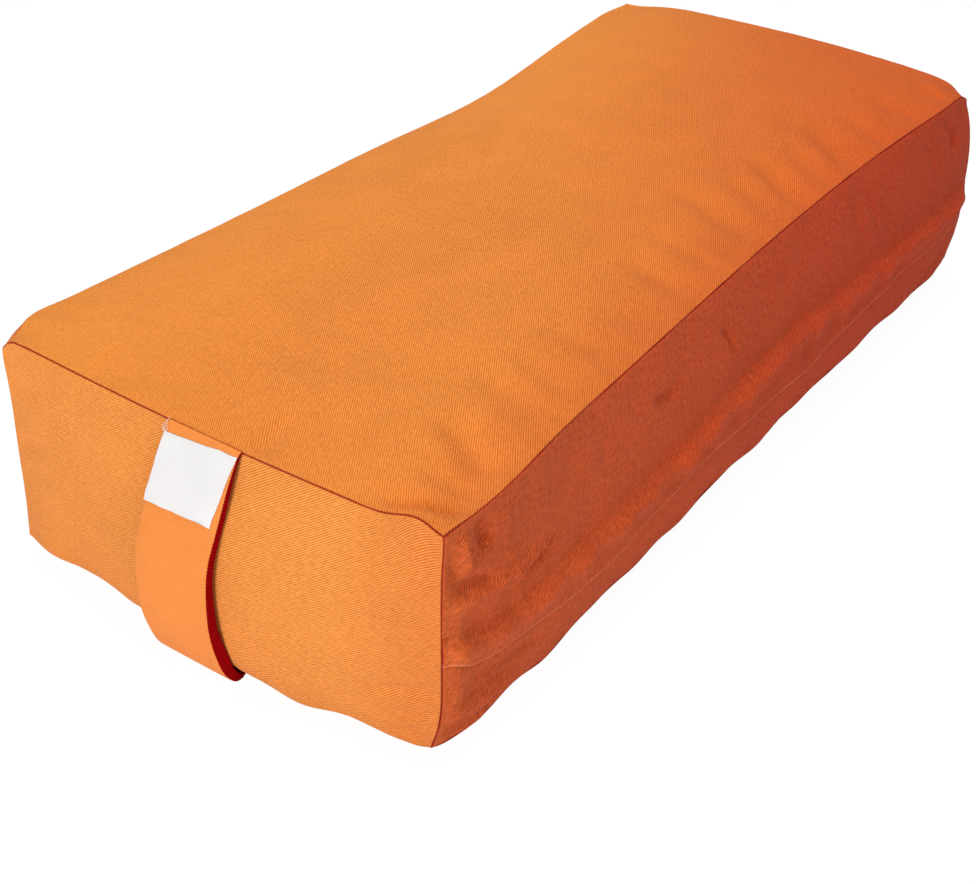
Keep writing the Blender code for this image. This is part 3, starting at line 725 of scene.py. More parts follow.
def panel_surface(face, a, b, seed):
    """Points, seam distances and flat places of a stretched panel at arrays of shares a and b.

    Shares outside -1 to 1 are the seam allowance, which turns in between the two faces.
    """
    axis, sign, letters = FACES[face]
    shares = (a, b)
    inner = [np.clip(share, -1, 1) for share in shares]
    points = on_face(face, *inner)
    normal = face_normal(face, *inner)
    spots = points[..., list(letters)]
    gaps = []
    for share, letter in zip(inner, letters):
        gaps += [(share + 1) * half_sizes[letter], (1 - share) * half_sizes[letter]]
    distance = np.minimum.reduce(gaps)
    lift = relief(spots, CREASES[face], distance, seed, panel_hills)
    rise = seam_depth
    for number, gap in enumerate(gaps):
        rise = rise * rolled(gap)
        run = spots[..., 1 - number // 2]
        lift += puckers(run, gap, seed * seeds_per_panel + number, panel_puckers)
    lift += wrinkle(face, *inner) * (1 - np.exp(-distance / wrinkle_fade))
    points = points + normal * (rise + lift)[..., None]
    edges = [AXES[letter] * np.sign(share)[..., None] for share, letter in zip(inner, letters)]
    near = [bell(np.minimum(*pair), hem_depth) for pair in (gaps[:2], gaps[2:])]
    for this, other in ((0, 1), (1, 0)):
        over = (np.abs(shares[this]) - np.abs(inner[this])) * half_sizes[letters[this]]
        points = turned_in(points, over, AXES[axis] * sign, edges[this], edges[other], near[other])
    return bulged(points), distance, spots


def cloth_panel(name, face, angle, seed, look, coarse):
    """One panel of the cover, with its edges turned in at the seams."""
    axis, sign, letters = FACES[face]
    lines = []
    for letter in letters:
        half = half_sizes[letter]
        hem = 1 + hem_depth / half
        lines.append(np.concatenate([[-hem], graded(-half, half, coarse=coarse) / half, [hem]]))
    points, distance, spots = panel_surface(face, *np.meshgrid(*lines, indexing="ij"), seed)
    cloth = rib_place(spots[..., 0], spots[..., 1], distance, angle)
    return cloth_sheet(name, points, cloth, AXES[axis] * sign, cloth_thickness, look)


def smooth_line(line, places):
    """Heights of a line at places, by a cubic through its points."""
    knots = np.array([point[0] for point in line])
    heights = np.array([point[1] for point in line])
    slopes = np.gradient(heights, knots)
    spot = np.clip(np.searchsorted(knots, places) - 1, 0, len(knots) - 2)
    width = knots[spot + 1] - knots[spot]
    share = np.clip((places - knots[spot]) / width, 0, 1)
    square, cube = share ** 2, share ** 3
    return ((2 * cube - 3 * square + 1) * heights[spot]
            + (cube - 2 * square + share) * width * slopes[spot]
            + (3 * square - 2 * cube) * heights[spot + 1]
            + (cube - square) * width * slopes[spot + 1])


# Materials


def fresh_material(name):
    made = bpy.data.materials.new(name)
    made.use_nodes = True
    return made, made.node_tree, made.node_tree.nodes["Principled BSDF"]


noise_middle = (0.3, 0.7)
full_turn = 2 * math.pi


def put(made, values):
    """Set a node's inputs from numbers or from other nodes' sockets."""
    for key, value in values.items():
        if isinstance(value, bpy.types.NodeSocket):
            made.id_data.links.new(value, made.inputs[key])
        else:
            made.inputs[key].default_value = value


def node(tree, kind, values=None, **settings):
    """Shader node with its settings and inputs."""
    made = tree.nodes.new("ShaderNode" + kind)
    for key, value in settings.items():
        setattr(made, key, value)
    put(made, values or {})
    return made


def maths(tree, operation, *values):
    return node(tree, "Math", dict(enumerate(values)), operation=operation).outputs[0]


def ranged(tree, value, low, high, to_low, to_high, soft=False):
    kind = "SMOOTHSTEP" if soft else "LINEAR"
    made = node(tree, "MapRange", {0: value, 1: low, 2: high, 3: to_low, 4: to_high},
                interpolation_type=kind)
    return made.outputs[0]


def varied(tree, value, to_low, to_high):
    """The middle range of a noise, spread from to_low to to_high."""
    return ranged(tree, value, *noise_middle, to_low, to_high)


def blend_colours(tree, share, first, second, kind="MIX"):
    made = node(tree, "Mix", {0: share, 6: first, 7: second}, data_type="RGBA", blend_type=kind)
    return made.outputs[2]


def toned(tree, colour, tone):
    """The colour made lighter or darker by a value."""
    grey = node(tree, "CombineColor", {0: tone, 1: tone, 2: tone}).outputs[0]
    return blend_colours(tree, 1.0, colour, grey, "MULTIPLY")


def bump(tree, height, strength, depth):
    made = node(tree, "Bump", {"Height": height, "Strength": strength, "Distance": depth})
    return made.outputs[0]


def cloth_axes(tree):
    read = node(tree, "Attribute", attribute_name="cloth", attribute_type="GEOMETRY")
    apart = node(tree, "SeparateXYZ", {0: read.outputs["Vector"]})
    return read.outputs["Vector"], apart.outputs[0], apart.outputs[1], apart.outputs[2]


def noise(tree, vector, scale, detail=2.0, rough=0.5, stretch=None):
    if stretch:
        mapped = node(tree, "VectorMath", {0: vector, 1: stretch}, operation="MULTIPLY")
        vector = mapped.outputs[0]
    made = node(tree, "TexNoise", {"Vector": vector, "Scale": scale, "Detail": detail,
                                   "Roughness": rough})
    return made.outputs[0]


def sine(tree, value):
    """A sine of the value, moved to lie between 0 and 1."""
    return maths(tree, "MULTIPLY_ADD", maths(tree, "SINE", value), 0.5, 0.5)


# Colours are linear
# Painted shade: dark red drawn along the seams for the shade in their grooves
seam_painted_shade_red = (0.34, 0.008, 0.002, 1)
# Painted highlight: lighter colour along the flap's folded edge
fold_painted_highlight_tint = (1.0, 0.42, 0.20, 1)
lint_colour = (0.92, 0.72, 0.50, 1)
# Noises of the twill: scale, detail, roughness, and scales across and along the ribs
wobble_noise = (60.0, 2.0)
slub_noise = (1.0, 3.0, 0.65, (1100.0, 260.0, 0.0))
mottle_noise = (26.0, 4.0, 0.6)
cloud_noise = (7.0, 2.0, 0.5)
grain_noise = (1.0, 2.0, 0.6, (430.0, 290.0, 0.0))
rib_wobble = 1.6
rib_roundness = 0.7
yarn_share = 0.18
slub_range = (-0.5, 0.5)
mottle_tone = (0.955, 1.03)
cloud_tone = (-0.025, 0.025)
# How far from a seam the painted groove shade reaches, and how strong it is
seam_shade_width = 0.0005
seam_shade_share = 0.95
# Strength of the painted highlight on the flap's fold, varied by the slubs
fold_highlight_share = (0.20, 0.55)
rib_relief_share = 0.7
twill_bump = 0.9
twill_bump_depth = 0.0004
twill_roughness = (0.96, 0.84)
twill_finish = {"Specular IOR Level": 0.2, "Sheen Weight": 0.04, "Sheen Roughness": 0.5}
# Lint: how many cells in a metre, radius of a speck in cells, share of cells without one, strength
lint_cells = 34.0
lint_radius = 0.017
lint_free_share = 0.965
lint_share = 0.6


def lint(tree, vector):
    """Share of lint at each place of the cloth."""
    cells = node(tree, "TexVoronoi", {"Vector": vector, "Scale": lint_cells, "Randomness": 1.0},
                 feature="F1")
    chosen = node(tree, "SeparateXYZ", {0: cells.outputs["Color"]}).outputs[0]
    speck = maths(tree, "MULTIPLY",
                  maths(tree, "LESS_THAN", cells.outputs["Distance"], lint_radius),
                  maths(tree, "GREATER_THAN", chosen, lint_free_share))
    return maths(tree, "MULTIPLY", speck, lint_share)


def twill(name, light, dark, rib_share, slub_share, grain_share, change=no_change):
    """Cotton twill: diagonal ribs of twisted yarn, slubs, soft mottling and a few lint specks."""
    made, tree, shader = fresh_material(name)
    vector, across, along, distance = cloth_axes(tree)
    wobble = maths(tree, "MULTIPLY", noise(tree, vector, *wobble_noise), rib_wobble)
    phase = maths(tree, "MULTIPLY_ADD", across, full_turn / rib_pitch, wobble)
    rib = maths(tree, "POWER", sine(tree, phase), rib_roundness)
    yarn = sine(tree, maths(tree, "MULTIPLY_ADD", along, full_turn / yarn_pitch, phase))
    slub = noise(tree, vector, *slub_noise)
    mottle = noise(tree, vector, *mottle_noise)
    cloud = noise(tree, vector, *cloud_noise)
    grain = noise(tree, vector, *grain_noise)
    weave = maths(tree, "MULTIPLY_ADD", rib, rib_share, maths(tree, "MULTIPLY", yarn, yarn_share))
    weave = maths(tree, "MULTIPLY_ADD", varied(tree, slub, *slub_range), slub_share, weave)
    place = node(tree, "TexCoord").outputs["Object"]
    place_axes = node(tree, "SeparateXYZ", {0: place}).outputs
    shown = ranged(tree, place_axes[0], smooth_start, smooth_end, smooth_share, 1.0, True)
    middle = (rib_share + yarn_share) / 2
    weave = maths(tree, "MULTIPLY_ADD", maths(tree, "SUBTRACT", weave, middle), shown, middle)
    tone = maths(tree, "ADD", varied(tree, mottle, *mottle_tone), varied(tree, cloud, *cloud_tone))
    tone = maths(tree, "ADD", tone, varied(tree, grain, -grain_share, grain_share))
    colour = toned(tree, blend_colours(tree, weave, (*dark, 1), (*light, 1)), tone)
    # Painted shade towards the far right and close to the zipped side, then the painted light that the
    # panel's change asks for
    run = node(tree, "VectorMath", {0: place, 1: shade_falloff_heading}, operation="DOT_PRODUCT")
    change_axis, full, ended, tint = change
    for value, start, end, to_start, to_end, tone_tint in (
            (run.outputs["Value"], shade_falloff_start, shade_falloff_end, 0.0, 1.0, painted_falloff_shade_tint),
            (place_axes[0], side_shade_start, side_shade_end, 0.0, 1.0, painted_side_shade_tint),
            (place_axes[change_axis], full, ended, 1.0, 0.0, tint)):
        share = ranged(tree, value, start, end, to_start, to_end, True)
        colour = blend_colours(tree, share, colour, tone_tint, "MULTIPLY")
    # Painted shade in the seam grooves
    seam_shade = ranged(tree, distance, 0.0, seam_shade_width, seam_shade_share, 0.0, True)
    colour = blend_colours(tree, seam_shade, colour, seam_painted_shade_red)
    # Painted highlight along the flap's folded edge, where its fold attribute is high
    fold = node(tree, "Attribute", attribute_name="fold", attribute_type="GEOMETRY")
    fold_highlight = maths(tree, "MULTIPLY", fold.outputs["Fac"], varied(tree, slub, *fold_highlight_share))
    colour = blend_colours(tree, fold_highlight, colour, fold_painted_highlight_tint)
    slub_relief = maths(tree, "MULTIPLY", slub, slub_share)
    height = maths(tree, "MULTIPLY_ADD", rib, rib_relief_share, slub_relief)
    strength = maths(tree, "MULTIPLY", shown, twill_bump)
    put(shader, {
        "Base Color": blend_colours(tree, lint(tree, vector), colour, lint_colour),
        "Normal": bump(tree, height, strength, twill_bump_depth),
        "Roughness": ranged(tree, weave, 0.0, 1.0, *twill_roughness), **twill_finish})
    return made


# Noises of woven cloth, listed in the same way, and what comes of them
woven_wobble_noise = (90.0, 2.0)
fibre_noise = (1.0, 3.0, 0.6, (1300.0, 300.0, 0.0))
woven_cloud_noise = (30.0, 3.0, 0.5)
woven_wobble = 1.4
cross_sharpness = 1.4
fibre_share = 0.4
woven_tone = (0.95, 1.03)
woven_bump = 0.5


def woven(name, light, dark, pitch_across, pitch_along, roughness, bump_depth, sheen=0.05,
          gloss=0.3):
    """Plain or tape weave on the cloth attribute, with its pitch both ways."""
    made, tree, shader = fresh_material(name)
    vector, across, along, _ = cloth_axes(tree)
    wobble = maths(tree, "MULTIPLY", noise(tree, vector, *woven_wobble_noise), woven_wobble)
    warp, weft = (
        maths(tree, "SINE", maths(tree, "MULTIPLY_ADD", place, full_turn / pitch, wobble))
        for place, pitch in ((across, pitch_across), (along, pitch_along)))
    crossed = maths(tree, "MULTIPLY", maths(tree, "MULTIPLY", warp, weft), cross_sharpness)
    fibre = varied(tree, noise(tree, vector, *fibre_noise), *slub_range)
    weave = maths(tree, "MULTIPLY_ADD", fibre, fibre_share, sine(tree, crossed))
    tone = varied(tree, noise(tree, vector, *woven_cloud_noise), *woven_tone)
    put(shader, {
        "Base Color": toned(tree, blend_colours(tree, weave, (*dark, 1), (*light, 1)), tone),
        "Normal": bump(tree, weave, woven_bump, bump_depth),
        "Roughness": roughness, "Specular IOR Level": gloss, "Sheen Weight": sheen})
    return made


speckle_detail = (4.0, 0.6)
speckle_bump = 0.3
smoother_share = 0.85
rougher_share = 1.1


def speckled(name, light, dark, scale, roughness, metallic=0.0, coat=0.0, bump_depth=0.00005):
    """Plain finish with a fine grain in its colour, gloss and surface."""
    made, tree, shader = fresh_material(name)
    place = node(tree, "TexCoord").outputs["Object"]
    grain = noise(tree, place, scale, *speckle_detail)
    put(shader, {
        "Base Color": blend_colours(tree, varied(tree, grain, 0.0, 1.0), (*dark, 1), (*light, 1)),
        "Normal": bump(tree, grain, speckle_bump, bump_depth),
        "Roughness": varied(tree, grain, roughness * smoother_share, roughness * rougher_share),
        "Metallic": metallic, "Coat Weight": coat})
    return made


# Twill: light and dark yarn, shares of its ribs, slubs and grain, painted light across the panel
twill_top = twill("TwillTop", (0.99, 0.385, 0.066), (0.69, 0.165, 0.021), 0.75, 0.45, 0.06,
                  painted_left_light)
twill_end = twill("TwillEnd", (0.99, 0.405, 0.085), (0.655, 0.145, 0.020), 1.0, 0.55, 0.05)
twill_left = twill("TwillLeft", (0.99, 0.36, 0.075), (0.62, 0.11, 0.018), 0.85, 0.8, 0.08)
# Painted shade: the right side is a darker, redder copy of the same twill
twill_side_painted_shade = twill("TwillSidePaintedShade", (0.96, 0.228, 0.053), (0.525, 0.066, 0.013), 0.85, 1.0, 0.10,
                   painted_corner_light)
# Woven: light and dark yarn, pitch across and along, roughness, depth of its relief, sheen, gloss
webbing_look = woven("Webbing", (0.97, 0.360, 0.075), (0.80, 0.220, 0.038), 0.0013, 0.0011, 0.9,
                     0.0002)
# Painted shade: the webbing's back is deep red, for the shadow in the gap behind the strap
webbing_back_painted_shade_look = woven("WebbingBackPaintedShade", (0.36, 0.001, 0.003), (0.22, 0.0, 0.001), 0.0013, 0.0011,
                          0.9, 0.0002, 0.0, 0.05)
label_look = woven("SatinLabel", (0.865, 0.895, 0.90), (0.80, 0.83, 0.835), 0.0005, 0.0004, 0.45,
                   0.00004, 0.2)
tape_look = woven("ZipTape", (0.74, 0.20, 0.035), (0.50, 0.11, 0.018), 0.0012, 0.0008, 0.8, 0.0002)
coil_look = speckled("NylonCoil", (0.70, 0.19, 0.035), (0.58, 0.14, 0.025), 900.0, 0.38)
metal_look = speckled("PaintedSlider", (0.68, 0.17, 0.03), (0.60, 0.14, 0.025), 500.0, 0.3, 0.25,
                      0.5)
thread_look = speckled("WhiteThread", (0.9, 0.9, 0.88), (0.8, 0.8, 0.78), 2500.0, 0.7)
calico_look = woven("Calico", (0.82, 0.75, 0.62), (0.66, 0.58, 0.45), 0.0009, 0.0009, 0.92,
                    0.00015)
batting_look = speckled("CottonBatting", (0.90, 0.87, 0.80), (0.74, 0.69, 0.60), 160.0, 0.95,
                        bump_depth=0.002)


# Cover panels

for name, face, angle, seed, look, coarse, node_name, flat in (
        ("cover_top_cloth", "top", rib_angle_top, 3, twill_top, coarse_step,
         "cover_top_panel", (0.316, 0.676)),
        ("cover_bottom_cloth", "bottom", rib_angle_top, 4, twill_top, plain_step,
         "cover_bottom_panel", (0.321, 0.676)),
        ("cover_front_end_cloth", "front", rib_angle_end, 5, twill_end, coarse_step,
         "cover_front_end_panel", (0.316, 0.170)),
        ("cover_rear_end_cloth", "rear", rib_angle_end, 6, twill_end, coarse_step,
         "cover_rear_end_panel", (0.316, 0.170)),
        ("cover_left_side_cloth", "left", rib_angle_side, 7, twill_left, coarse_step,
         "cover_left_side_panel", (0.676, 0.170)),
):
    piece = cloth_panel(name, face, angle, seed, look, coarse)
    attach(piece, "cushion")
    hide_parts(node_name)


# Right side: panel above the stitch line, flap over the zip, strip below

flap_thickness = 0.0014
flap_stand_off = 0.0007
flap_half_length = 0.3300
# Reach of the painted highlight from the flap's folded edge
fold_highlight_reach = 0.0007
# Rows of points down its outer cloth, as shares of its height, round its edge and back up
outer_rows = (0, 0.008, 0.018, *np.linspace(0.03, 0.96, 26), 0.985, 1.0)
fold_steps = 7
inner_rows = 14
# Upper edge of the flap, hidden behind the panel above: how far up and in it goes
flap_root_rise = 0.0030
flap_root_depth = 0.0016
root_sink = 0.00008
root_sink_reach = 0.004
# Valley along the line of stitches, drawn in above it and below
valley_depth = 0.0024
valley_reach_above = 0.0115
valley_power_above = 1.6
valley_reach_below = 0.0070
# Puffed ridge below the valley, and the ripple of the cloth below that
ridge_height = 0.0050
ridge_place = 0.0108
ridge_reach = 0.0080
ridge_root = 0.0070
ridge_seed = 101
ridge_wave_share = 0.30
ridge_wave_length = 0.055
ripple_seed = 102
ripple_height = 0.0005
ripple_wave_length = 0.028
hollow_height_share = 0.7
# The relief flattens where the ends of the side are sewn in
end_room_reach = 0.010
end_room_share = 0.85
# Panel above the stitches, with rows that go in behind the flap
side_seed = 8
upper_low = 0.0835
upper_hidden_rows = (-0.045, -0.030, -0.015)
hidden_curve = 20.0
# Strip below the zip: how it is tucked in behind the flap's edge, and rises to it at its ends
strip_seed = 9
strip_depth = 0.046
strip_sink = 0.0007
strip_top = 0.0578
strip_overlap = 0.0045
strip_root_gap = 0.0015
tuck_start = 0.0035
tuck_reach = 0.008
tuck_depth = 0.0030
zip_reach_near = 0.3045
zip_reach_far = 0.298
zip_end_rise = 0.010
height_rounds = 3
# Hollows in the flap between its ridge and its edge: (y, share of its height down, radius, depth)
flap_hollows = (
    (-0.300, 0.55, 0.010, 0.0016), (-0.252, 0.62, 0.009, 0.0014), (-0.190, 0.58, 0.011, 0.0012),
    (-0.120, 0.60, 0.010, 0.0014), (-0.072, 0.66, 0.008, 0.0012), (-0.036, 0.56, 0.010, 0.0018),
    (0.014, 0.60, 0.009, 0.0013), (0.058, 0.64, 0.010, 0.0015), (0.100, 0.52, 0.011, 0.0021),
    (0.134, 0.62, 0.008, 0.0018), (0.172, 0.56, 0.009, 0.0013), (0.205, 0.62, 0.011, 0.0018),
    (0.252, 0.58, 0.010, 0.0015), (0.296, 0.60, 0.009, 0.0013),
)


def side_points(v, height, lift):
    """Points of the right side at shares v of the length and real heights, lifted by lift."""
    w = height_to_share(height)
    for _ in range(height_rounds):
        found = cushion(np.ones_like(v), v, w)[..., 2]
        w = w + height_to_share(height) - height_to_share(found)
    return on_face("right", v, w) + face_normal("right", v, w) * lift[..., None]


def end_distance(v):
    return (1 - np.abs(v)) * seam_half_length


def side_relief(v, height, creases, seed):
    """Creases, hills, puckers and wrinkles of the right side's cloth."""
    gap = end_distance(v)
    lift = relief(np.stack([v * seam_half_length, height], axis=-1), creases, gap, seed, side_hills)
    lift += puckers(height, gap, seed * seeds_per_panel, side_puckers)
    return lift + wrinkle("right", v, height_to_share(height)) * (1 - np.exp(-gap / wrinkle_fade))


def end_room(end_gap):
    """Share of the relief that is left close to the ends of the side."""
    return 1 - bell(end_gap, end_room_reach) * end_room_share


def flap_form(y, drop, tall):
    """Rise of the flap's outer cloth: valley at its root, puffed ridge, hollows, then flat."""
    strength = 1 + ridge_wave_share * line_waves(y, ridge_seed, ridge_wave_length)
    ridge = ridge_height * strength * bell(drop - ridge_place, ridge_reach)
    lift = ridge * (1 - bell(drop, ridge_root)) - valley_depth * bell(drop, valley_reach_below)
    for place, share, radius, depth in flap_hollows:
        above = (drop / tall - share) * tall
        lift = lift - depth * bell(y - place, radius) * bell(above, radius * hollow_height_share)
    ripple = line_waves(y, ripple_seed, ripple_wave_length) * np.sin(math.pi * drop / tall)
    return lift + ripple_height * ripple + flap_stand_off * (drop / tall) ** 2


side_line_v = graded(-seam_half_length, seam_half_length) / seam_half_length
side_hem = 1 + hem_depth / seam_half_length
side_columns = np.concatenate([[-side_hem], side_line_v, [side_hem]])


def side_sheet(name, v, height, lift, seam_gap, up, over_seam, hidden, seed, sizes):
    """Sheet of the right side, sewn in at its ends and at one long seam.

    up is 1 where that seam is the upper one and -1 where it is the lower one. over_seam is the
    hem past it, hidden the part that goes in behind the flap, and sizes those of its puckers.
    """
    inner_v = np.clip(v, -1, 1)
    y = inner_v * seam_half_length
    end_gap = end_distance(inner_v)
    lift = lift + puckers(y, seam_gap, seed * seeds_per_panel + 1, sizes)
    rise = seam_depth * rolled(seam_gap) * rolled(end_gap)
    points = side_points(inner_v, height, rise + lift)
    outward, long_edge = AXES[0], AXES[2] * up
    end_edge = AXES[1] * np.sign(inner_v)[..., None]
    over_end = (np.abs(v) - np.abs(inner_v)) * seam_half_length
    points = turned_in(points, over_end, outward, end_edge, long_edge, bell(seam_gap, hem_depth))
    points = turned_in(points, over_seam, outward, long_edge, end_edge, bell(end_gap, hem_depth))
    points[..., 2] -= hidden
    points[..., 0] -= hidden ** 2 * hidden_curve
    cloth = rib_place(y, height, np.minimum(seam_gap, end_gap), rib_angle_side)
    return cloth_sheet(name, bulged(points), cloth, outward, cloth_thickness, twill_side_painted_shade)


def make_side_upper():
    """Panel from the top seam down to the stitch line, and a little further behind the flap."""
    depth = seam_height_top - upper_low
    rows = [*upper_hidden_rows, *(graded(0.0, depth) / depth), 1 + hem_depth / depth]
    v, share = np.meshgrid(side_columns, rows, indexing="ij")
    inner_v = np.clip(v, -1, 1)
    low = smooth_line(stitch_line, inner_v * seam_half_length)
    high = top_height(np.ones_like(inner_v), inner_v)
    height = mix(low, high, np.clip(share, 0, 1))
    drawn_in = valley_depth * np.exp(-((height - low) / valley_reach_above) ** valley_power_above)
    lift = side_relief(inner_v, height, side_creases, side_seed) - drawn_in
    lift *= end_room(end_distance(inner_v))
    over, hidden = (np.maximum(past, 0) * depth for past in (share - 1, -share))
    item = side_sheet("cover_right_side_cloth", v, height, lift, high - height, 1, over, hidden,
                      side_seed, side_top_puckers)
    sharpen_row(item, v.shape[1], len(upper_hidden_rows))
    return item


def make_strip():
    """Strip from the bottom seam up behind the flap's edge."""
    rows = graded(0.0, strip_depth, fine_end=False) / strip_depth
    rows = [-hem_depth / strip_depth, *rows]
    v, share = np.meshgrid(side_columns, rows, indexing="ij")
    inner_v = np.clip(v, -1, 1)
    y = inner_v * seam_half_length
    edge = smooth_line(flap_line, y)
    low = base_height(np.ones_like(inner_v), inner_v)
    zip_reach = np.where(y < 0, zip_reach_near, zip_reach_far)
    end_share = np.clip((np.abs(y) - zip_reach) / zip_end_rise, 0, 1)
    root = smooth_line(stitch_line, y) - strip_root_gap
    high = mix(np.minimum(edge + strip_overlap, strip_top), root, end_share)
    height = mix(low, high, np.clip(share, 0, 1))
    tuck = np.clip((height - edge + tuck_start) / tuck_reach, 0, 1)
    tucked = (strip_sink + tuck_depth * tuck * tuck) * (1 - bell(end_distance(inner_v), relief_room))
    lift = side_relief(inner_v, height, strip_creases, strip_seed) - tucked
    over = np.maximum(-share, 0) * strip_depth
    return side_sheet("cover_lower_strip_cloth", v, height, lift, height - low, -1, over, 0.0,
                      strip_seed, side_bottom_puckers)


def make_flap():
    """Doubled flap: outer cloth down from the stitch line, folded round its edge and back up."""
    v = graded(-flap_half_length, flap_half_length) / seam_half_length
    y = v * seam_half_length
    top = smooth_line(stitch_line, y)
    radius = flap_thickness / 2
    tall = top - smooth_line(flap_line, y) - radius
    end_gap = end_distance(v)
    rise = seam_depth * rolled(end_gap)

    def outer_lift(drop):
        lift = flap_form(y, drop, tall) + side_relief(v, top - drop, side_creases, side_seed)
        return rise + lift * end_room(end_gap) - root_sink * bell(drop, root_sink_reach)

    layers = [side_points(v, top + flap_root_rise, outer_lift(0 * tall) - flap_root_depth)]
    for share in outer_rows:
        layers.append(side_points(v, top - tall * share, outer_lift(tall * share)))
    fold_row = len(layers) - 1
    fold_lift = outer_lift(tall)
    for step in range(1, fold_steps):
        angle = math.pi * step / fold_steps
        height = top - tall - radius * math.sin(angle)
        layers.append(side_points(v, height, fold_lift - radius + radius * math.cos(angle)))
    for share in np.linspace(1, 0, inner_rows):
        lift = outer_lift(tall * share) - flap_thickness
        layers.append(side_points(v, top - tall * share, lift))
    points = bulged(np.stack(layers, axis=1))
    shape = points.shape[:2]
    steps = np.linalg.norm(np.diff(points, axis=1, prepend=points[:, :1]), axis=-1)
    walked = np.cumsum(steps, axis=1)
    run, gap = (np.broadcast_to(values[:, None], shape) for values in (y, end_gap))
    cloth = rib_place(run, top[:, None] - walked, gap, rib_angle_side)
    index = np.arange(points[..., 0].size).reshape(shape)
    closing = np.stack([index[:-1, 0], index[:-1, -1], index[1:, -1], index[1:, 0]], axis=-1)
    faces = [*grid_faces(*shape).tolist(), index[0].tolist(), index[-1][::-1].tolist(),
             *closing.tolist()]
    item = new_mesh("zip_flap_cloth", points, faces, cloth)
    sharpen_row(item, shape[1], 1)
    # Share of the painted highlight at each point, highest on the folded edge
    fold_highlight = bell(walked - walked[:, fold_row:fold_row + 1], fold_highlight_reach)
    layer = item.data.attributes.new("fold", "FLOAT", "POINT")
    layer.data.foreach_set("value", fold_highlight.astype(np.float32).ravel())
    item.data.materials.append(twill_side_painted_shade)
    return item


side_upper = make_side_upper()
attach(side_upper, "cushion")
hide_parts("cover_right_side_panel")

strip = make_strip()
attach(strip, "cushion")
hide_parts("cover_zip_lower_strip")

flap = make_flap()
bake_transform(flap)
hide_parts("zip_flap")


# Webbing handle and its blank label

webbing_width = 0.050
webbing_thickness = 0.0022
handle_bow = 0.0313
handle_low_height = 0.003
handle_groove_share = 0.037
handle_outline_shares = (
    (0.05, 1.006), (0.16, 0.988), (0.37, 0.90), (0.63, 0.74), (0.86, 0.62), (0.96, 0.535),
    (1.0, 0.425), (0.98, 0.31), (0.87, 0.20), (0.68, 0.085), (0.43, 0.012), (0.26, 0.0),
    (0.17, 0.012), (0.144, handle_groove_share),
)
path_samples = 24
heading_step = 0.0015
strap_askew = 0.0055
strap_askew_reach = 0.042
# The strap is slightly twisted and curled: how far its left edge hangs out and down
twist_out = 0.0016
twist_down = 0.0030
edge_curl = 0.0010
edge_curl_power = 3
strap_split_share = 0.52
strap_row = 0.0005
# Fine teeth of the weave along the long edges
tooth_height = 0.0002
tooth_length = 0.0020
tooth_reach_share = 1.2
# The right edge of the webbing is turned under, a deep-red sheet that stands in for the shadow in the gap
# beside the strap: how far out and in, and how it grows down the strap
turn_out = 0.0010
turn_in = 0.0022
turn_growth = ((0.0, 0.030, 0.075, 0.110, 0.135, 0.160, 0.171), (0.0, 0.7, 1.0, 1.5, 2.1, 1.4, 0.6))
band_columns = 34
rim_steps = 4
band_sharp_angle = math.radians(60)
# The label is sewn on a little askew: (across, along) of its corners on the webbing
label_corners = ((-0.0231, 0.0062), (0.0250, 0.0030), (0.0207, 0.0450), (-0.0250, 0.0451))
label_flat = (0.0469, 0.0405)
label_thickness = 0.0005
label_gap = 0.0002
label_row_share = 0.04
label_wave_height = 0.00022
# Seed and wave length of the waves of its upright edges and of its level ones
label_waves = ((61, 0.016), (62, 0.018))


def curve_through(corners, samples):
    """Close points on a smooth curve through the corners."""
    corners = np.array(corners, float)
    padded = np.concatenate([[corners[0] * 2 - corners[1]], corners,
                             [corners[-1] * 2 - corners[-2]]])
    found = []
    for span in range(len(corners) - 1):
        before, start, end, after = padded[span:span + 4]
        for step in range(samples):
            share = step / samples
            found.append((start * 2 + (end - before) * share
                          + (before * 2 - start * 5 + end * 4 - after) * share ** 2
                          + (start * 3 - before - end * 3 + after) * share ** 3) / 2)
    found.append(corners[-1])
    return np.array(found)


def handle_path():
    """Side view of the webbing as close points (y, z), with the walked distance of each."""
    seam_y = -float(end_line(np.array(0.0), np.array(1.0)))
    corners = [(seam_y - handle_bow * out, mix(handle_low_height, seam_height_top, rise))
               for out, rise in handle_outline_shares]
    path = curve_through(corners, path_samples)
    steps = np.linalg.norm(np.diff(path, axis=0), axis=1)
    return path, np.concatenate([[0], np.cumsum(steps)])


path_points, path_walk = handle_path()
path_total = path_walk[-1]


def at_walk(walk):
    """Point and outward direction of the webbing's middle layer at walked distances."""
    def path_at(place):
        return np.array([np.interp(place, path_walk, path_points[:, axis]) for axis in (0, 1)])
    y, z = path_at(walk)
    dy, dz = path_at(walk + heading_step) - path_at(walk - heading_step)
    length = np.hypot(dy, dz)
    return y, z, dz / length, -dy / length


def webbing_sheet(x, walk, lift):
    """Points of the webbing at places across it and along it, lifted off its middle layer."""
    y, z, out_y, out_z = at_walk(walk)
    free = np.sin(math.pi * np.clip(walk / path_total, 0, 1)) ** 2
    twist = -x / webbing_width
    lift = lift - edge_curl * (2 * np.abs(x) / webbing_width) ** edge_curl_power * free
    y = y + out_y * lift - twist_out * twist * free
    z = z + out_z * lift - twist_down * twist * free
    return np.stack([x + strap_askew * bell(walk, strap_askew_reach), y, z], axis=-1)


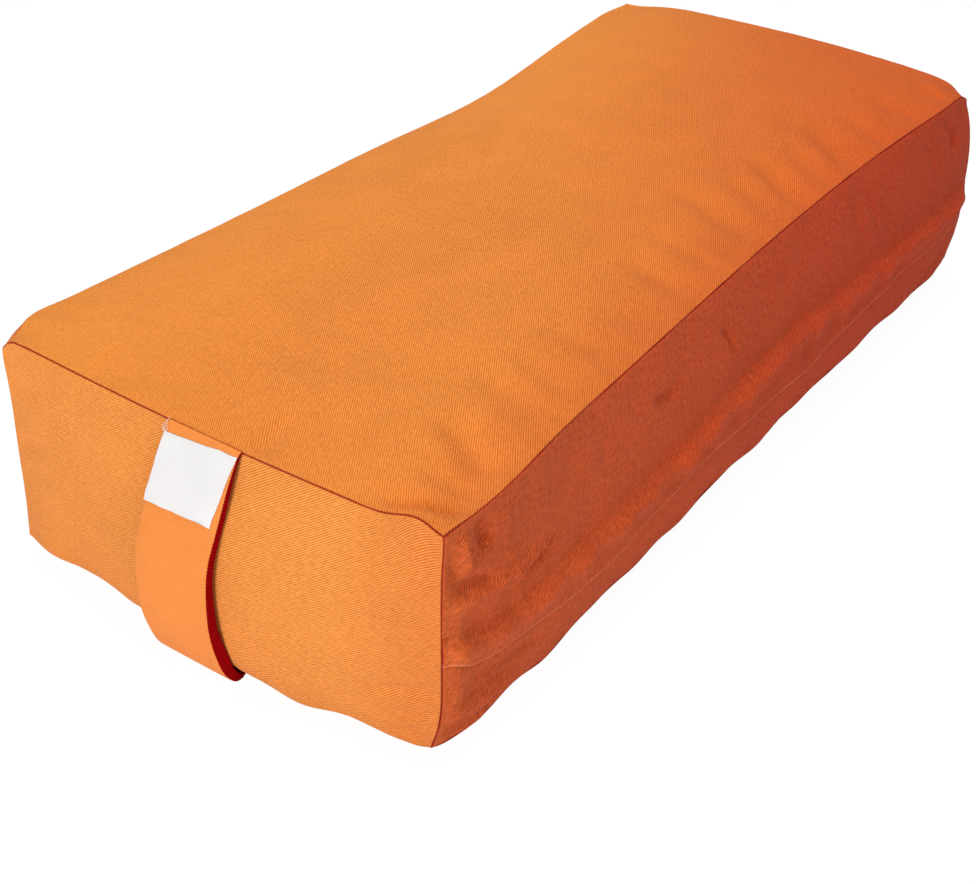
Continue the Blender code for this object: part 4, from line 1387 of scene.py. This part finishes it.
def band(name, start, end, width, thickness, row_step, look, painted_shade_look=None, lift=0.0, place=None):
    """Closed band along the handle's path, with rounded long edges.

    With a look for its back it is webbing: its back has that look, a deep red of painted shade, its edges
    fine teeth, and its right edge is turned under to show it as a band of painted shadow beside the strap.
    place, where given, turns arrays of x and walk into places on the webbing.
    """
    half = width / 2
    rim = thickness / 2
    across = np.linspace(-half + rim, half - rim, band_columns)
    upper = [(x, rim) for x in across]
    lower = [(x, -rim) for x in across[::-1]]
    angles = [math.pi * step / rim_steps for step in range(1, rim_steps)]
    right = [(half - rim + rim * math.sin(angle), rim * math.cos(angle)) for angle in angles]
    left = [(-x, -z) for x, z in right]
    ring = np.array(upper + right + lower + left)
    rows = max(2, math.ceil((end - start) / row_step))
    walks = np.linspace(start, end, rows + 1)
    x, high = (np.broadcast_to(values, (rows + 1, len(ring))) for values in ring.T)
    walk = np.broadcast_to(walks[:, None], x.shape)
    if painted_shade_look:
        # Turned-under right edge: the dark sheet of painted shade beside the strap
        turned = np.zeros((len(ring), 2))
        low_right = len(upper) + len(right)
        turned[low_right - 1:low_right + 1] = (turn_out, -turn_in)
        turned[low_right + 1] = (turn_out - rim * 2, -turn_in)
        grown = np.interp(walks, *turn_growth)[:, None]
        x = x + turned[:, 0] * grown
        high = high + turned[:, 1] * grown
        edge = np.abs(ring[:, 0]) > half - rim * tooth_reach_share
        teeth = np.sign(x) * tooth_height * np.sin(walk * 2 * math.pi / tooth_length)
        x = x + np.where(edge, teeth, 0.0)
    if place:
        x, walk = place(x, walk)
    points = webbing_sheet(x, walk, high + lift)
    cloth = np.stack([x, walk, np.full_like(x, no_seam)], axis=-1)
    item = new_mesh(name, points, closed_tube(*points.shape[:2]), cloth)
    item.data.set_sharp_from_angle(angle=band_sharp_angle)
    item.data.materials.append(look)
    if painted_shade_look:
        item.data.materials.append(painted_shade_look)
        # Faces of the back take the deep-red painted shade
        segment = np.arange(len(ring))
        on_back = (segment > len(upper) - 1) & (segment < len(ring) - 1)
        chosen = np.concatenate([np.tile(on_back, rows), [False, False]]).astype(np.int32)
        item.data.polygons.foreach_set("material_index", chosen)
    return item


def strap(name, start, end):
    return band(name, start, end, webbing_width, webbing_thickness, strap_row, webbing_look,
                webbing_back_painted_shade_look)


strap_split = path_total * strap_split_share
strap_upper = strap("handle_webbing_upper", 0.0, strap_split)
strap_lower = strap("handle_webbing_lower", strap_split, path_total)
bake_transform(strap_upper)
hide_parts("handle_tail_upper", "handle_strap")
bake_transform(strap_lower)
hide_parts("handle_tail_lower")


def label_place(x, walk):
    """Place on the webbing of a point at shares x and walk of the label, from -1 to 1."""
    right = (x + 1) / 2
    down = (walk + 1) / 2
    top_left, top_right, low_right, low_left = label_corners
    across, along = (
        mix(mix(top_left[part], top_right[part], right), mix(low_left[part], low_right[part], right),
            down) for part in (0, 1))
    upright, level = label_waves
    across = across + label_wave_height * line_waves(along, *upright)
    along = along + label_wave_height * line_waves(across, *level)
    return across, along


label_lift = (webbing_thickness + label_thickness) / 2 + label_gap
label = band("handle_label_satin", -1.0, 1.0, label_flat[0], label_thickness, label_row_share,
             label_look, lift=label_lift,
             place=lambda x, walk: label_place(x / label_flat[0] * 2, walk))
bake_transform(label)
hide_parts("handle_label")


def tube(points, radius):
    """Points and faces of a thread along close points, tapered at both ends."""
    ahead = np.gradient(points, axis=0)
    ahead /= np.linalg.norm(ahead, axis=1, keepdims=True)
    side = np.cross(ahead, thread_side)
    side /= np.linalg.norm(side, axis=1, keepdims=True)
    third = np.cross(ahead, side)
    angle = np.arange(thread_sides) * 2 * math.pi / thread_sides
    size = np.full(len(points), radius)
    size[[0, -1]] = radius * thread_end_share
    ring = side[:, None] * np.cos(angle)[:, None] + third[:, None] * np.sin(angle)[:, None]
    shell = points[:, None] + ring * size[:, None, None]
    return shell.reshape(-1, 3), closed_tube(len(points), thread_sides)


thread_radius = 0.00016
thread_sides = 6
thread_end_share = 0.35
# A direction that no thread runs in
thread_side = (0.3, -0.9, 0.3)
thread_samples = 6
stitch_length = 0.0022
stitch_samples = 7
stitch_arch = 0.00012
stitch_inset_share = 0.955
stitch_row_share = 0.93
stitches_across = 19
# Loose end of thread at the label's upper left corner: (across, along, lift)
thread_ends = (
    ((-0.0225, 0.0062, 0.0), (-0.0232, 0.0046, 0.0010), (-0.0222, 0.0030, 0.0016),
     (-0.0232, 0.0018, 0.0014), (-0.0226, 0.0004, 0.0022)),
    ((-0.0222, 0.0064, 0.0), (-0.0240, 0.0054, 0.0008), (-0.0243, 0.0036, 0.0012),
     (-0.0234, 0.0026, 0.0018)),
    ((-0.0215, 0.0062, 0.0), (-0.0218, 0.0050, 0.0008), (-0.0208, 0.0042, 0.0010),
     (-0.0216, 0.0032, 0.0014)),
)


def label_threads():
    """Rows of stitches along the top and bottom of the label, and the loose end."""
    paths = []
    arch = np.linspace(0, 1, stitch_samples)
    stitch_half = stitch_length / label_flat[0]
    for row in (-stitch_inset_share, stitch_inset_share):
        for middle in np.linspace(-stitch_row_share, stitch_row_share, stitches_across):
            run = middle + mix(-stitch_half, stitch_half, arch)
            across, along = label_place(run, np.full_like(arch, row))
            lift = label_lift + label_thickness / 2 + stitch_arch * np.sin(arch * math.pi)
            paths.append(webbing_sheet(across, along, lift))
    for corners in thread_ends:
        line = curve_through(corners, thread_samples)
        paths.append(webbing_sheet(line[:, 0], line[:, 1], line[:, 2] + label_lift))
    points, faces, total = [], [], 0
    for path in paths:
        shell, shell_faces = tube(path, thread_radius)
        faces += [[corner + total for corner in face] for face in shell_faces]
        points.append(shell)
        total += len(shell)
    item = new_mesh("handle_label_stitches", np.concatenate(points), faces)
    item.data.materials.append(thread_look)
    return item


label_stitches = label_threads()
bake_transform(label_stitches)


# Upper tape of the zip, from its coil to the back of the panel above

tape_thickness = 0.0006
tape_half_length = 0.312
tape_columns = 30
tape_open_end = 0.2965
tape_closed_end = 0.2980
tape_end_columns = 5
tape_end_drop = 0.0060
# Cross-section of the tape: (x, z)
tape_line = (
    (0.1510, 0.0666), (0.1510, 0.0700), (0.1511, 0.0734), (0.1517, 0.0765), (0.1526, 0.0798),
)


def make_upper_tape():
    """Tape behind the panel, its lowest row drawn down to the lower tape past the end stops."""
    half = np.concatenate([np.linspace(0, tape_open_end, tape_columns),
                           np.linspace(tape_closed_end, tape_half_length, tape_end_columns)])
    run = np.concatenate([-half[:0:-1], half])
    y, row = np.meshgrid(run, np.arange(len(tape_line)), indexing="ij")
    line = np.array(tape_line)[row]
    drop = tape_end_drop * ((np.abs(y) > tape_open_end) & (row == 0))
    height = line[..., 1] - drop
    points = np.stack([line[..., 0], y, height], axis=-1)
    cloth = np.stack([height, y, np.full_like(y, no_seam)], axis=-1)
    return cloth_sheet("zip_tape_upper_cloth", points, cloth, AXES[0], tape_thickness, tape_look)


upper_tape = make_upper_tape()
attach(upper_tape, "cushion")
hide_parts("zip_tape_upper")


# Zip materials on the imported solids

for node_name, look in (("zip_tape_lower", tape_look),
                        ("zip_coil_upper", coil_look), ("zip_coil_lower", coil_look),
                        ("zip_front_stop", coil_look), ("zip_rear_stop", coil_look),
                        ("zip_slider", metal_look), ("zip_pull_tab", metal_look)):
    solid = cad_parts[node_name]
    solid.data.materials.clear()
    solid.data.materials.append(look)


# Stuffed insert

case_gap = 0.004
case_zip_gap = 0.0135
case_round_power = 8.0
filling_inset = 0.003
insert_points = (61, 111, 31)
insert_core = (0.0, 0.0, 0.08)
lump_length = 0.06
# How far the lumps lean with the height: along x, along y
lump_lean = (0.7, -0.4)


def insert_form(name, deeper, look, seed, lumps):
    """Closed rounded form inside the cover, deeper than the case by some distance."""
    inset = case_gap + deeper
    zip_inset = case_zip_gap + deeper
    shares, faces, _ = closed_grid(insert_points)
    total = (np.abs(shares) ** case_round_power).sum(axis=-1)
    u, v, w = (shares / total[..., None] ** (1 / case_round_power)).T
    side = side_line(v, w) + groove_depth
    end = end_line(u, w) + groove_depth - inset
    low = base_height(u, v) + inset
    high = top_height(u, v) + groove_depth - inset
    x = mix(inset - side, side - zip_inset, (u + 1) / 2)
    points = np.stack([x, v * end, mix(low, high, (w + 1) / 2)], axis=-1)
    lump = waves(points[:, :2] + points[:, 2:] * np.array(lump_lean), seed, lump_length)
    away = points - np.array(insert_core)
    away /= np.linalg.norm(away, axis=-1, keepdims=True)
    points = bulged(points - away * (lumps * (1 + lump))[..., None])
    cloth = np.stack([points[:, 0] + points[:, 2], points[:, 1], np.full(len(points), no_seam)],
                     axis=-1)
    item = new_mesh(name, points, faces, cloth)
    item.data.materials.append(look)
    return item


case_cloth = insert_form("inner_case_cloth", 0.0, calico_look, seed=21, lumps=0.0004)
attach(case_cloth, "cushion")
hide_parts("inner_case")
batting = insert_form("filling_batting", filling_inset, batting_look, seed=22, lumps=0.0008)
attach(batting, "cushion")
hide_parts("filling_core")


# Floor, light and camera

floor_reach = 4.0
floor_drop = 0.0003
floor_grey = 0.92
floor_roughness = 0.9
floor_glow = 1.06
floor_glow_share = 0.90
world_colour = (1.0, 0.72, 0.70, 1)
world_strength = 0.18
white = (1, 1, 1, 1)
# Area lights: place, target, size, power, colour
lights = {
    "Key": ((0.24, -1.61, 0.66), (0.03, -0.15, 0.08), (0.7, 0.7), 12.5, (1.0, 1.0, 1.0)),
    "Overhead": ((-0.02, 0.22, 1.50), (0.02, 0.02, 0.10), (0.9, 1.2), 14.0, (1.0, 0.94, 0.92)),
    "SideFill": ((1.05, -0.75, 1.25), (0.12, -0.05, 0.08), (0.6, 0.6), 3.0, (1.0, 0.92, 0.90)),
}


def seen_directly(tree):
    """1 where the camera sees the surface itself, in a mirror or through glass."""
    rays = node(tree, "LightPath")
    return maths(tree, "MAXIMUM", maths(tree, "MAXIMUM", rays.outputs["Is Camera Ray"],
                                        rays.outputs["Is Glossy Ray"]),
                 rays.outputs["Is Transmission Ray"])


def make_floor():
    mesh = bpy.data.meshes.new("floor")
    corners = [(x * floor_reach, y * floor_reach, 0) for x, y in ((-1, -1), (1, -1), (1, 1), (-1, 1))]
    mesh.from_pydata(corners, [], [(0, 1, 2, 3)])
    floor = bpy.data.objects.new("floor", mesh)
    floor.location.z = -floor_drop
    bpy.context.scene.collection.objects.link(floor)
    made, tree, shader = fresh_material("PaleFloor")
    put(shader, {"Base Color": (floor_grey, floor_grey, floor_grey, 1),
                 "Roughness": floor_roughness})
    glow = node(tree, "Emission", {"Color": white, "Strength": floor_glow})
    share = maths(tree, "MULTIPLY", seen_directly(tree), floor_glow_share)
    mixed = node(tree, "MixShader", {0: share, 1: shader.outputs[0], 2: glow.outputs[0]})
    put(tree.nodes["Material Output"], {"Surface": mixed.outputs[0]})
    mesh.materials.append(made)


def make_world():
    world = bpy.data.worlds.new("Studio")
    bpy.context.scene.world = world
    world.use_nodes = True
    tree = world.node_tree
    backdrop = tree.nodes["Background"]
    put(backdrop, {"Color": world_colour, "Strength": world_strength})
    plain = node(tree, "Background", {"Color": white, "Strength": 1.0})
    mixed = node(tree, "MixShader", {0: seen_directly(tree), 1: backdrop.outputs[0],
                                     2: plain.outputs[0]})
    put(tree.nodes["World Output"], {"Surface": mixed.outputs[0]})


def area_light(name, place, target, size, power, colour):
    lamp = bpy.data.lights.new(name, "AREA")
    lamp.shape = "RECTANGLE"
    lamp.size, lamp.size_y = size
    lamp.energy = power
    lamp.color = colour
    item = bpy.data.objects.new(name, lamp)
    item.location = place
    item.rotation_euler = (Vector(target) - Vector(place)).to_track_quat("-Z", "Y").to_euler()
    bpy.context.scene.collection.objects.link(item)


def make_camera():
    lens = bpy.data.cameras.new("Camera")
    lens.lens = lens_mm
    lens.sensor_width = sensor_mm
    item = bpy.data.objects.new("Camera", lens)
    right = Vector(camera_right)
    up = -Vector(camera_down)
    back = -Vector(camera_forward)
    turn = Matrix((right, up, back)).transposed().to_4x4()
    item.matrix_world = Matrix.Translation(camera_place) @ turn
    bpy.context.scene.collection.objects.link(item)
    bpy.context.scene.camera = item


make_floor()
make_world()
for name, settings in lights.items():
    area_light(name, *settings)
make_camera()
bpy.context.scene.view_settings.view_transform = "Standard"
